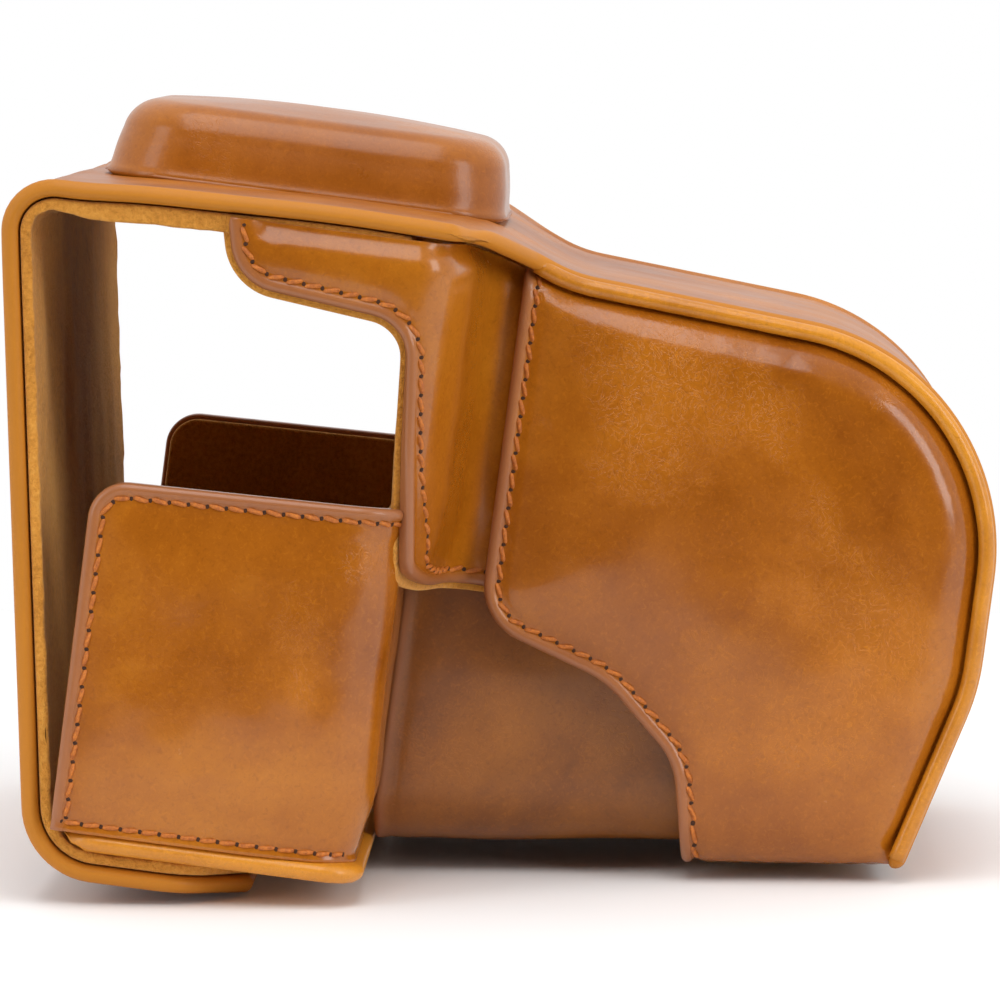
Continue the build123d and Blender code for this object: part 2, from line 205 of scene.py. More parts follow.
# ---------------------------------------------------------------- meshes
def mesh_object(name, verts, faces, material, rim=None):
    """An object with smooth faces, all normals outwards.  rim is the share of the rim colour at each vertex:
    a cut edge's own colour, and on the top strip a painted highlight.
    """
    mesh = bpy.data.meshes.new(name)
    mesh.from_pydata([tuple(v) for v in verts], [], faces)
    if rim is not None:
        mesh.attributes.new("rim", "FLOAT", "POINT").data.foreach_set("value", np.asarray(rim, np.float32))
    work = bmesh.new()
    work.from_mesh(mesh)
    bmesh.ops.recalc_face_normals(work, faces=work.faces)
    work.to_mesh(mesh)
    work.free()
    mesh.polygons.foreach_set("use_smooth", [True] * len(mesh.polygons))
    mesh.materials.append(material)
    obj = bpy.data.objects.new(name, mesh)
    bpy.context.scene.collection.objects.link(obj)
    return obj


def fit(piece, slot, body, *replaced):
    """Hides the CAD nodes a piece stands for and hangs it on the body that carries it.  slot, what it is made
    of, is not used.
    """
    if replaced:
        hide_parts(*replaced)
    if body:
        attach(piece, body)


def bands(count, around, start=0):
    """Faces between loops of vertices, each of which has around vertices."""
    faces = []
    for i in range(count - 1):
        for j in range(around):
            a, b = start + i * around + j, start + i * around + (j + 1) % around
            faces.append((a, b, b + around, a + around))
    return faces


def lid(around, start=0):
    """One face over a loop of vertices."""
    return tuple(range(start, start + around))


def inside_piece(points, loops):
    """Which points are inside the first loop and outside the others, which are holes."""
    inside = within(points, loops[0])
    for hole in loops[1:]:
        inside &= ~within(points, hole)
    return inside


def nearest(points, loops):
    """Distance of each point from the nearest loop."""
    return np.min([away(points, loop) for loop in loops], axis=0)


# Distances from the cut edge at which a sheet has a ring of vertices.
RINGS = [0, 0.1, 0.32, 0.62, 1.0, 1.4, 1.8, 2.3, 3.0]
SUEDE_RINGS = [0, 0.15, 0.45, 0.9, 1.6]


def sheet(name, outline, place, outer, inner, material, grid=2.0, holes=(), rings=RINGS, rim=1.35,
          lattice=None, cut_path=None):
    """A closed piece of leather.  outline and holes are closed paths in the sheet's own plane.
    place maps (points, height) to the case frame.  outer and inner give the heights of its two
    faces from (points, distance from the nearest cut edge).  grid is the spacing of its vertices,
    unless lattice gives their rows and columns.  cut_path is the part of the outline whose rim colour
    shows, if not all of it; rim is how far in that colour reaches, which is a cut edge's own colour and on
    the top strip a painted highlight."""
    outline = turning(outline)
    loops = [outline] + [turning(hole)[::-1] for hole in holes]
    points, edges, ring_sets = [], [], []
    for loop in loops:
        for depth in rings:
            moved = offset(loop, depth, True)
            start = len(points)
            if depth:
                moved = moved[(nearest(moved, loops) > depth * 0.72) & within(moved, outline)]
            else:
                count = len(moved)
                edges += [(start + i, start + (i + 1) % count) for i in range(count)]
                ring_sets.append((start, count))
            points += list(moved)
    lo, hi = outline.min(0), outline.max(0)
    if lattice is None:
        us = np.arange(lo[0], hi[0], grid)
        vs = np.arange(lo[1], hi[1], grid)
    else:
        us, vs = lattice
    gu, gv = np.meshgrid(us, vs, indexing="ij")
    gv = gv + (np.arange(len(us)) % 2)[:, None] * (vs[1] - vs[0]) / 2
    cloud = np.column_stack([gu.ravel(), gv.ravel()])
    cloud = cloud[inside_piece(cloud, loops)]
    points += list(cloud[nearest(cloud, loops) > rings[-1] + grid * 0.35])
    made, _, faces, origins, *_ = delaunay_2d_cdt([Vector(p) for p in points], edges, [], 0, 1e-4)
    made = np.array([tuple(v) for v in made])
    first = {}
    for new, olds in enumerate(origins):
        for old in olds:
            first[old] = new
    faces = [f for f in faces if len(f) == 3]
    good = inside_piece(np.array([made[list(f)].mean(0) for f in faces]), loops)
    faces = [f for f, g in zip(faces, good) if g]
    depth = nearest(made, loops)
    top = place(made, outer(made, depth))
    low = place(made, inner(made, depth))
    n = len(made)
    all_faces = [tuple(f) for f in faces] + [tuple(i + n for i in f[::-1]) for f in faces]
    for start, count in ring_sets:
        for i in range(count):
            a, b = first[start + i], first[start + (i + 1) % count]
            if a != b:
                all_faces.append((a, b, b + n, a + n))
    from_cut = depth if cut_path is None else away(made, cut_path, closed=False)
    edge = np.exp(-(from_cut / rim) ** 4)
    return mesh_object(name, row(np.vstack([top, low])), all_faces, material, np.concatenate([edge, edge]))


def rounded(depth, size, radius):
    """How far an edge rounded over size has dropped, at a distance from the edge."""
    t = np.clip(1 - np.asarray(depth) / size, 0, 1)
    return radius * (1 - np.sqrt(np.maximum(1 - t * t, 0)))


STITCH = 2.45              # from one stitch to the next
THREAD_RADIUS = 0.31
HOLE_RINGS = [(0.2, 0.05), (0.33, -0.05), (0.36, -0.3)]     # radius and height of a needle hole's rings


def stitches(name, path, place, height_at, body, lean=0.28):
    """A row of sewn thread along a path in a sheet's plane, with the needle holes between painted near-black
    as shade.
    """
    route = Route(path)
    gap = 0.3                  # before the first stitch and after the last
    count = max(1, int((route.length - 2 * gap) / STITCH))
    used = (route.length - 2 * gap) / count
    around, along, hole_around = 8, 8, 10
    verts, faces, dots, dot_faces = [], [], [], []

    def on_sheet(spots):
        flat = np.array([spot for spot, _ in spots])
        base = place(flat, height_at(flat))
        up = place(flat, height_at(flat) + 1.0) - base
        return row(base + up * np.array([height for _, height in spots])[:, None])

    for k in range(count):
        uv, t, left = route.at([gap + used * (k + 0.5)])
        slant = lean * (1 + 0.25 * sin(k * 2.1))
        direction = t[0] * cos(slant) + left[0] * sin(slant)
        across = np.array([-direction[1], direction[0]])
        start = len(verts)
        for i in range(along + 1):
            q = i / along * 2 - 1
            fat = THREAD_RADIUS * (1 - abs(q) ** 5 * 0.75) * (1 + 0.06 * sin(k * 1.3 + i))
            arch = THREAD_RADIUS * 0.75 * (1 - abs(q) ** 2.6) - THREAD_RADIUS * 0.75
            for j in range(around):
                angle = 2 * pi * j / around
                spot = uv[0] + direction * q * used * 0.49 + across * fat * cos(angle)
                verts.append((spot, arch + fat * sin(angle)))
        faces += bands(along + 1, around, start)
        faces += [lid(around, start)[::-1], lid(around, start + along * around)]
    threads = mesh_object(name, on_sheet(verts), faces, THREAD)
    fit(threads, "tan_leather", body)
    # Each needle hole is a shallow dish painted near-black as shade.
    for k in range(count + 1):
        uv, t, left = route.at([gap + used * k])
        start = len(dots)
        dots.append((uv[0], 0.07))
        for size, high in HOLE_RINGS:
            for j in range(hole_around):
                angle = 2 * pi * j / hole_around
                dots.append((uv[0] + size * (t[0] * cos(angle) * 0.9 + left[0] * sin(angle)), high))
        dot_faces += [(start, start + 1 + j, start + 1 + (j + 1) % hole_around) for j in range(hole_around)]
        dot_faces += bands(len(HOLE_RINGS), hole_around, start + 1)
    holes = mesh_object(name + "_holes", on_sheet(dots), dot_faces, HOLE_PAINTED_SHADE)
    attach(holes, body)


def trimmed(path, start, end):
    """Part of a path between two arc lengths."""
    route = Route(path)
    s = np.arange(start, end, 1.0)
    return route.at(np.concatenate([s, [end]]))[0]


def mirrored(place, hand):
    """A placing for the right-hand side (1), mirrored for the left-hand side (-1)."""
    def put(points, height):
        out = place(points, height)
        out[:, 0] *= hand
        return out
    return put


# ---------------------------------------------------------------- materials
class Shader:
    """The node tree of a material or world, built by short calls."""

    def __init__(self, owner, end="Principled BSDF"):
        owner.use_nodes = True
        self.owner = owner
        self.tree = owner.node_tree
        self.end = self.tree.nodes[end]

    def give(self, node, inputs):
        """Gives a node's inputs their values or links."""
        for key, given in inputs.items():
            if isinstance(given, bpy.types.NodeSocket):
                self.tree.links.new(given, node.inputs[key])
            else:
                node.inputs[key].default_value = given

    def node(self, kind, output, inputs={}, **settings):
        """Adds a node and returns one of its outputs."""
        made = self.tree.nodes.new("ShaderNode" + kind)
        for key, value in settings.items():
            setattr(made, key, value)
        self.give(made, inputs)
        return made.outputs[output]

    def noise(self, scale, detail, rough, distortion=0.0, stretch=None):
        where = self.where
        if stretch:
            where = self.node("Mapping", "Vector", {"Vector": where, "Scale": stretch})
        return self.node("TexNoise", "Fac", {"Vector": where, "Scale": scale, "Detail": detail,
                                             "Roughness": rough, "Distortion": distortion})

    def ramp(self, source, *stops):
        made = self.tree.nodes.new("ShaderNodeValToRGB")
        elements = made.color_ramp.elements
        while len(elements) < len(stops):
            elements.new(0.5)
        for element, (place, colour) in zip(elements, stops):
            element.position = place
            element.color = (*colour, 1)
        self.give(made, {"Fac": source})
        return made.outputs["Color"]

    def range(self, source, low, high, to_low=0.0, to_high=1.0):
        return self.node("MapRange", "Result", {"Value": source, "From Min": low, "From Max": high,
                                                "To Min": to_low, "To Max": to_high})

    def math(self, operation, a, b):
        return self.node("Math", "Value", {0: a, 1: b}, operation=operation)

    def add(self, a, b):
        return self.math("ADD", a, b)

    def times(self, a, b):
        return self.math("MULTIPLY", a, b)

    def mix(self, share, source, colour):
        """The source with a share of a plain colour."""
        return self.node("Mix", "Result", {"Factor": share, "A": source, "B": (*colour, 1)}, data_type="RGBA")

    def bump(self, height, distance, strength=1.0, onto=None):
        inputs = {"Strength": strength, "Distance": distance, "Height": height}
        if onto is not None:
            inputs["Normal"] = onto
        return self.node("Bump", "Normal", inputs)

    def set(self, **inputs):
        self.give(self.end, {key.replace("_", " "): given for key, given in inputs.items()})
        return self.owner


def material_nodes(name):
    """A new material, with the object's own coordinates as its places."""
    s = Shader(bpy.data.materials.new(name))
    s.where = s.node("TexCoord", "Object")
    return s


def leather(name, dark, mid, light, cut, rough=0.20, grain=1.0, gloss=0.3, seed=0.0, rim_share=0.9,
            ior=1.4):
    """Glazed pull-up leather: amber clouds, fine pores, rubbed patches with creases, and a rim colour at the
    edges, which is a cut edge's own colour on most pieces and a painted highlight on the top strip's turned
    bead.
    """
    s = material_nodes(name)
    if seed:
        s.where = s.node("Mapping", "Vector", {"Vector": s.where, "Location": (seed, seed * 0.7, -seed)})
    clouds = s.noise(19, 6, 0.6, 0.8)
    fine = s.noise(85, 6, 0.6)
    pores = s.noise(1500, 3, 0.65, 1.0)
    pits = s.noise(2600, 2, 0.6)
    tone = s.add(s.times(clouds, 0.68), s.times(fine, 0.32))
    colour = s.ramp(tone, (0.34, dark), (0.5, mid), (0.66, light))
    rubbed = s.range(s.noise(38, 3, 0.5, 0.3), 0.56, 0.69)
    from_line = s.math("ABSOLUTE", s.math("SUBTRACT", s.noise(420, 2, 0.55, 2.4), 0.5), 0.0)
    lines = s.range(from_line, 0.0, 0.030, 1.0, 0.0)
    creases = s.times(lines, rubbed)
    pale = tuple(c * 1.3 for c in light)
    deep = tuple(c * 0.7 for c in dark)
    colour = s.mix(s.times(rubbed, 0.30), colour, pale)
    colour = s.mix(s.times(creases, 0.50), colour, pale)
    colour = s.mix(s.times(s.range(pores, 0.54, 0.72), 0.26), colour, pale)
    colour = s.mix(s.times(s.range(pores, 0.46, 0.30), 0.28), colour, deep)
    edge = s.times(s.node("Attribute", "Fac", attribute_name="rim"), rim_share)
    # The rim colour is a cut edge's own colour, and on the top strip a painted highlight along its turned
    # bead.
    colour = s.mix(edge, colour, cut)
    height = s.add(s.times(pores, 0.55), s.times(pits, 0.25))
    height = s.add(height, s.times(creases, -1.9))
    normal = s.bump(s.noise(150, 3, 0.5, 0.4), 0.0004 * grain, 0.15)
    normal = s.bump(height, 0.00009 * grain, 0.35, normal)
    shine = s.range(fine, 0.3, 0.7, rough - 0.03, rough + 0.08)
    shine = s.add(shine, s.times(edge, 0.2))
    return s.set(Base_Color=colour, Roughness=shine, Normal=normal, Coat_Weight=gloss, Coat_Roughness=0.10,
                 IOR=ior)


def suede(name, dark, mid, light):
    """Matt napped suede with darker and lighter patches."""
    s = material_nodes(name)
    patches = s.noise(45, 4, 0.6, 0.4)
    nap = s.noise(1400, 4, 0.75)
    tone = s.add(s.times(patches, 0.5), s.times(nap, 0.5))
    colour = s.ramp(tone, (0.36, dark), (0.5, mid), (0.64, light))
    normal = s.bump(s.noise(160, 5, 0.65), 0.0010, 0.4)
    normal = s.bump(nap, 0.00055, 0.9, normal)
    return s.set(Base_Color=colour, Roughness=s.range(patches, 0.3, 0.7, 0.86, 0.98), Normal=normal,
                 Sheen_Weight=0.35, Sheen_Roughness=0.5, Sheen_Tint=(1.0, 0.75, 0.45, 1),
                 Specular_IOR_Level=0.2)


def metal(name, colour, rough):
    """Metal with fine turning marks and faint smears."""
    s = material_nodes(name)
    streaks = s.noise(1.0, 3, 0.6, stretch=(60, 60, 900))
    smears = s.noise(130, 4, 0.6)
    worn = tuple(c * 0.72 for c in colour)
    return s.set(Base_Color=s.ramp(smears, (0.35, worn), (0.6, colour)), Metallic=1.0,
                 Roughness=s.range(smears, 0.3, 0.7, rough - 0.06, rough + 0.1),
                 Normal=s.bump(streaks, 0.00006, 0.5))


def plain_fibre(name, dark, light, scale, rough):
    """Thread, board or foam: an even grain."""
    s = material_nodes(name)
    grain = s.noise(scale, 4, 0.7)
    return s.set(Base_Color=s.ramp(grain, (0.35, dark), (0.65, light)),
                 Roughness=s.range(grain, 0.3, 0.7, rough - 0.08, rough + 0.08),
                 Normal=s.bump(grain, 0.0003, 0.6))


DARK = (0.235, 0.060, 0.0030)
MID = (0.350, 0.100, 0.0045)
LIGHT = (0.470, 0.155, 0.0085)
CUT = (0.330, 0.120, 0.045)
# A lighter rim colour for the top strip and flap: painted highlight along their turned bead.
TURNED_PAINTED_HIGHLIGHT = (0.56, 0.215, 0.020)

TAN = leather("tan_leather_glazed", DARK, MID, LIGHT, CUT)
# The top strip's leather, with a painted highlight along its turned edges.
TAN_TOP = leather("tan_leather_top", DARK, MID, LIGHT, TURNED_PAINTED_HIGHLIGHT, rough=0.36, gloss=0.05, seed=0.31,
                  rim_share=0.75, ior=1.28)
TAN_HUMP = leather("tan_leather_hump", (0.245, 0.066, 0.0035), (0.33, 0.095, 0.0045), (0.42, 0.135, 0.007),
                   CUT, rough=0.29, gloss=0.12, seed=0.12, grain=1.2)
# A darker copy of the tan leather for the lens cradle: painted shade, for the cradle lies in the shadow of
# the pouch and shoulders.
TAN_PAINTED_SHADE = leather("tan_leather_cradle_painted_shade", (0.17, 0.047, 0.003), (0.26, 0.080, 0.005), (0.34, 0.115, 0.009),
                    CUT, rough=0.33, seed=0.77)
# A lighter copy of the tan leather for the piping and the base: painted highlight on their rounded cords and
# roll.
BEAD_PAINTED_HIGHLIGHT = leather("piping_leather_painted_highlight", (0.42, 0.140, 0.006), (0.58, 0.215, 0.010), (0.70, 0.29, 0.02),
               (0.60, 0.22, 0.02), rough=0.36, seed=0.5, grain=1.3)
SUEDE = suede("suede_amber", (0.46, 0.170, 0.018), (0.68, 0.285, 0.040), (0.82, 0.39, 0.07))
# A dimmer copy of the suede for the linings inside the case: painted shade.
SUEDE_PAINTED_SHADE = suede("suede_lining", (0.36, 0.150, 0.022), (0.54, 0.24, 0.042), (0.68, 0.34, 0.075))
THREAD = plain_fibre("thread_orange", (0.36, 0.085, 0.006), (0.62, 0.185, 0.018), 1800, 0.6)
# Near-black dishes in the needle holes: painted shade.
HOLE_PAINTED_SHADE = plain_fibre("needle_hole_painted_shade", (0.030, 0.009, 0.002), (0.07, 0.02, 0.005), 2500, 0.9)
STEEL = metal("steel_brushed", (0.55, 0.54, 0.52), 0.3)
BRASS = metal("antique_brass", (0.42, 0.28, 0.11), 0.36)
DARK_METAL = metal("gunmetal_cap", (0.05, 0.045, 0.045), 0.42)
FOAM = plain_fibre("foam_grey", (0.05, 0.045, 0.04), (0.12, 0.11, 0.1), 700, 0.95)
BOARD = plain_fibre("stiffener_board", (0.30, 0.24, 0.17), (0.42, 0.35, 0.26), 500, 0.9)


def paint(material, *nodes):
    """Gives carried-over CAD nodes a material."""
    for node in nodes:
        for each in NODES[node].material_slots:
            each.material = material


paint(BOARD, "base_board", "top_board", "flap_board")
paint(STEEL, "strike_plates", "tripod_screw", "magnets")
paint(BRASS, "screw_escutcheon", "screw_clip")

# ---------------------------------------------------------------- outlines of the case
# Paths are (forward, up) unless said otherwise, each with the radii of its inner corners.
COVER_TOP = 85.8           # height of the strip's outer face over the camera
STRIP = [(-67, COVER_TOP), (-13, COVER_TOP), (0, 80.5), (61, 76.1), (60.9, 32), (53.8, 6.2)]
STRIP_RADII = [12, 20, 31, 30]
FLAP = [(-67, COVER_TOP), (-75.8, COVER_TOP), (-61.5, -5.6), (-32, -5.6)]
FLAP_RADII = [7, 10]
OPENING = [(-46.2, 86), (-43.6, 75.0), (-20.6, 72.6), (-18.9, 57), (-15.9, 37.6), (-4, 37.2)]
OPENING_RADII = [7, 6, 30, 5]
SCALLOP = [(-6.6, 90), (-6.8, 32.8), (11, 27), (21.5, 17.5), (23.6, 8)]
SCALLOP_RADII = [8, 14, 10]
HANDS = (("right", 1), ("left", -1))
BOX_HALF = 38.2            # half width of the lens box
INSET = 1.95               # of the stitches from the cut edges

# ---------------------------------------------------------------- top strip and flap, one leather
LONG = FLAP[::-1] + STRIP[1:]
LONG_RADII = [*FLAP_RADII[::-1], 0, *STRIP_RADII]
LONG_ROUTE = Route(smooth_path(LONG, LONG_RADII, 1.0, 0.5))
END = LONG_ROUTE.length
FROM_BACK_EDGE = np.abs(LONG_ROUTE.path - [-67, COVER_TOP]).sum(1)
S_BACK = LONG_ROUTE.s[np.argmin(FROM_BACK_EDGE)]          # where the flap folds


def long_place(points, height):
    """u runs from the tongue's end round the back and over the top to the front foot; v is right.
    The leather bulges a little over the camera and dips at the fold."""
    arch = 0.45 * bell(points[:, 0] - S_BACK - 35, 14) - 0.7 * bell(points[:, 0] - S_BACK, 8)
    return np.column_stack([points[:, 1], raised(LONG_ROUTE, points[:, 0], height + arch)])


def s_at(forward):
    """Arc length where the part over the top reaches a forward place."""
    path, s = LONG_ROUTE.path, LONG_ROUTE.s
    over = (s >= S_BACK) & (s < S_BACK + 120)
    return float(np.interp(forward, path[over][:, 0], s[over]))


S_KINK = s_at(-15.5)       # where the strip bends down to the lens box
S_NECK = s_at(-4.3)        # where it has narrowed to the lens box
BEAD_HALF = BOX_HALF + 0.35
TONGUE_HALF = 52.0         # half width of the tongue's straight end
strip_side = [(0.0, -TONGUE_HALF), (9.0, -61.0), (S_BACK - 12, -61.0), (S_BACK + 3, -62.0), (S_KINK, -62.0),
              (S_NECK, -BOX_HALF - 2.2), (S_NECK + 9.0, -BEAD_HALF), (END - 1.0, -BEAD_HALF),
              (END, -BOX_HALF + 1)]
right_side = smooth_path(strip_side, [9, 30, 30, 2.0, 3.0, 20, 0.8], 1.2, 0.5)
left_side = right_side[::-1] * [1, -1]

# The notch is round the screw, whose axis is a little behind the tongue's end.
NOTCH = 13.0
NOTCH_DEEP = 5.0
notch_bend = [(NOTCH_DEEP + NOTCH * sin(t), NOTCH * cos(t)) for t in np.linspace(0.08, pi - 0.08, 24)]
notch_path = np.array([(0.0, NOTCH), (NOTCH_DEEP, NOTCH), *notch_bend, (NOTCH_DEEP, -NOTCH), (0.0, -NOTCH)])


def tongue_end(half, notch, inset):
    """The tongue's end edge with the notch, from left to right."""
    return [spaced([(0.0, half), (0.0, notch)], 1.5), spaced(notch_path + [inset, 0], 1.2),
            spaced([(0.0, -notch), (0.0, -half)], 1.5)]


long_outline = np.vstack([right_side, left_side, *tongue_end(TONGUE_HALF, NOTCH, 0)])
HUMP_MIDDLE = -38.3
HUMP_HALF_LENGTH = 27.3
HUMP_HALF_WIDTH = 23.0
HUMP_FOOT_CORNER = 10.0


def round_rect(middle, half_u, half_v, radius, step=1.5):
    """A closed rounded rectangle."""
    u, v = middle
    signs = [(0, -1), (1, -1), (1, 1), (-1, 1), (-1, -1), (0, -1)]
    corners = [(u + half_u * su, v + half_v * sv) for su, sv in signs]
    return smooth_path(corners, [radius] * 4, step, 0.6)[:-1]


HUMP_HOLE = round_rect((s_at(HUMP_MIDDLE), 0), 22.7, 19.0, 6)


def long_rows():
    """Rows closer together where the leather bends."""
    rows, s = [], 0.0
    while s < END:
        rows.append(s)
        _, t, _ = LONG_ROUTE.at([s - 2, s + 2])
        bend = abs(np.arctan2(t[0, 0] * t[1, 1] - t[0, 1] * t[1, 0], t[0] @ t[1])) / 4
        s += float(np.clip(0.16 / max(bend, 1e-3), 0.8, 2.6))
    return np.array(rows)


LONG_ROWS = long_rows()


def long_skin(points, depth):
    """Turned edge: a full bead along the sides, then a shallow valley."""
    bead = 0.32 * bell(depth - 1.3, 1.1) - 0.22 * bell(depth - 3.1, 0.8)
    crease = -0.9 * bell(points[:, 0] - S_KINK - 1.5, 1.6) * np.exp(-depth / 3)
    crease *= smoothstep(30, 60, np.abs(points[:, 1]))
    soft = 0.28 * ripple(points, 26, 3.1) * smoothstep(2, 12, depth)
    return -rounded(depth, 1.15, 1.1) + bead + crease + soft


def long_inner(points, depth):
    return -2.15 + 0.4 * np.exp(-depth / 1.6) + rounded(depth, 0.9, 0.7)


# Its turned edge is painted lighter as a highlight.
outer_strip = sheet("outer_strip", long_outline, long_place, long_skin, long_inner, TAN_TOP, grid=2.3,
                    holes=[HUMP_HOLE], lattice=(LONG_ROWS, np.arange(-61, 61, 2.6)), rim=1.7)
fit(outer_strip, "tan_leather", None, "top_leather", "flap_leather", "flap_board", "top_board")
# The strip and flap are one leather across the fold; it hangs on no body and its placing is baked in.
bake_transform(outer_strip)

# The suede inside the flap and under the top.
S_SUEDE_END = s_at(-21.5)
SUEDE_HALF = 60.6
SUEDE_TONGUE_HALF = TONGUE_HALF - 2
suede_side = [(0.0, -SUEDE_TONGUE_HALF), (8, -60.3), (S_BACK, -SUEDE_HALF), (S_SUEDE_END, -SUEDE_HALF)]
suede_side = smooth_path(suede_side, [9, 20], 1.2, 0.5)
suede_front = spaced([(S_SUEDE_END, -SUEDE_HALF), (S_SUEDE_END, SUEDE_HALF)], 1.5)
suede_outline = np.vstack([suede_side, suede_front, suede_side[::-1] * [1, -1],
                           *tongue_end(SUEDE_TONGUE_HALF, NOTCH + 0.4, 0.4)])


def suede_outer(points, depth):
    return -2.2 - rounded(depth, 0.45, 0.4)


def suede_inner(points, depth):
    """Its free face: ragged at the cut edge and loosely folded on the flap."""
    over_top = smoothstep(S_BACK - 3, S_BACK + 6, points[:, 0])
    ragged = 0.3 * ripple(points, 2.3, 1.3) * np.exp(-depth / 1.2)
    folds = 0.5 * ripple(points * [0.25, 1.0], 9, 6.0) * smoothstep(3, 10, depth) * (1 - over_top)
    return -3.45 - 1.0 * over_top - 0.35 * np.exp(-depth / 1.5) + rounded(depth, 0.6, 0.5) + ragged + folds


inner_suede = sheet("inner_suede", suede_outline, long_place, suede_outer, suede_inner, SUEDE, grid=2.5,
                    holes=[HUMP_HOLE], lattice=(LONG_ROWS[LONG_ROWS < S_SUEDE_END], np.arange(-60, 60, 2.8)))
fit(inner_suede, "suede_lining", None, "flap_lining", "top_lining")
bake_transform(inner_suede)

# ---------------------------------------------------------------- shoulders
STRIP_ROUTE = Route(smooth_path(STRIP, STRIP_RADII, 1.0, 0.5))


# Its plan is (right, forward): beside the camera, then in to the lens box.
SHOULDER_CORNER = -17.0
SHOULDER_PLAN = [(62.0, -52.0), (62.0, SHOULDER_CORNER), (BOX_HALF, -10.0), (BOX_HALF, 3.0)]
SHOULDER_ROUTE = Route(smooth_path(SHOULDER_PLAN, [5.5, 4.5], 0.8, 0.4))


def shoulder_uv(path):
    """Points (forward, up) laid on the shoulder's plan."""
    return np.column_stack([SHOULDER_ROUTE.where(1, path[:, 0]), path[:, 1]])


def on_plan(route):
    """A placing on an upright wall: u runs forwards along the wall's plan (right, forward), v is up."""
    outward = np.sign(route.at([3.0])[2][0, 0])

    def put(points, height):
        return np.column_stack([raised(route, points[:, 0], height * outward), points[:, 1]])
    return put


shoulder_put = on_plan(SHOULDER_ROUTE)


# The shoulder's outline: the strap opening, the end behind the lens panel, and the strip's underside.
FRONT_STOP = -2.0
opening = smooth_path(OPENING, OPENING_RADII, 1.0, 0.5)
opening = opening[opening[:, 0] < FRONT_STOP]
ceiling = offset(STRIP_ROUTE.path, -2.35)
ceiling = ceiling[(ceiling[:, 0] > -50.0) & (ceiling[:, 0] < FRONT_STOP)]
opening = opening[opening[:, 1] < np.interp(opening[:, 0], ceiling[:, 0], ceiling[:, 1]) - 0.2]
ceiling = ceiling[ceiling[:, 0] > opening[0, 0] - 0.3]
opening_end = (FRONT_STOP, opening[-1, 1])
shoulder_fh = np.vstack([opening, spaced([opening_end, ceiling[-1]], 1.0), ceiling[::-1]])
shoulder_outline = spaced(shoulder_uv(shoulder_fh), 1.0)
opening_uv = shoulder_uv(opening)
ceiling_uv = shoulder_uv(ceiling)


def edge_depth(points, path):
    return away(points, path, closed=False)


def shoulder_outer(points, depth):
    """Puffed inside its stitches, tucked in under the strip, and closer to the camera past the corner."""
    seam = edge_depth(points, opening_uv)
    past_corner = points[:, 0] - SHOULDER_ROUTE.where(1, SHOULDER_CORNER)
    puff = 0.9 * (1 - np.exp(-np.maximum(seam - 3, 0) / 5))
    groove = -0.30 * bell(seam - INSET, 0.7) + 0.12 * bell(seam - 0.9, 0.5)
    tuck = -1.6 * bell(edge_depth(points, ceiling_uv), 2.2) * smoothstep(2, 5, seam)
    soft = 0.5 * ripple(points, 14, 8.2) * smoothstep(3, 9, seam)
    return puff + groove + tuck + soft - rounded(seam, 0.8, 0.6) - 0.9 * smoothstep(6, 22, past_corner)


def on_top(outer):
    """Heights at which stitches lie on a sheet's outer face."""
    return lambda uv: outer(uv, 0) + 0.05


suede_fh = np.vstack([offset(opening, -0.9), ceiling[::-1] + [0, -0.4]])
shoulder_suede_path = spaced(shoulder_uv(suede_fh), 1.0)
shoulder_line = shoulder_uv(offset(opening, INSET))
for hand_name, hand in HANDS:
    put = mirrored(shoulder_put, hand)
    shell = sheet(f"shoulder_{hand_name}", shoulder_outline, put, shoulder_outer,
                  lambda p, d: -2.0 + rounded(d, 0.5, 0.3), TAN, grid=1.7, cut_path=opening_uv)
    fit(shell, "tan_leather", "cover", f"shoulder_leather_{hand_name}")
    fuzzy = sheet(f"shoulder_suede_{hand_name}", shoulder_suede_path, put,
                  lambda p, d: -2.05 - rounded(d, 0.3, 0.2),
                  lambda p, d: -3.25 + rounded(d, 0.5, 0.5) + 0.18 * ripple(p, 1.7, 4.4), SUEDE, grid=2.2,
                  rings=SUEDE_RINGS)
    fit(fuzzy, "suede_lining", "cover", f"shoulder_lining_{hand_name}")
    stitches(f"shoulder_stitches_{hand_name}", shoulder_line, put, on_top(shoulder_outer), "cover")

# ---------------------------------------------------------------- lens box panels
PANEL_R = BOX_HALF + 0.05
FOOT_EDGE, FOOT_MIDDLE = 4.7, 0.35     # of the box's underside above the table
PANEL_HIGH = 90.0
panel_bend = [(PANEL_R, PANEL_HIGH), (PANEL_R, FOOT_EDGE), (0.0, FOOT_MIDDLE)]
PANEL_SECTION = Route(smooth_path(panel_bend, [5.0], 1.0, 0.3))


def to_table(points):
    """(forward, up) of the upright plane to (ahead, above the table)."""
    f, h = np.asarray(points, float).T
    return np.column_stack([f * cos(TILT) + h * sin(TILT), LIFT - f * sin(TILT) + h * cos(TILT)])


def from_table(ahead, above):
    above = np.asarray(above) - LIFT
    return ahead * cos(TILT) - above * sin(TILT), ahead * sin(TILT) + above * cos(TILT)


def panel_put(points, height):
    """u is ahead along the table; v is above it, and below the foot's bend runs on under the box."""
    out = raised(PANEL_SECTION, PANEL_HIGH - points[:, 1], height)
    f, h = from_table(points[:, 0], out[:, 1])
    return np.column_stack([out[:, 0], f, h])


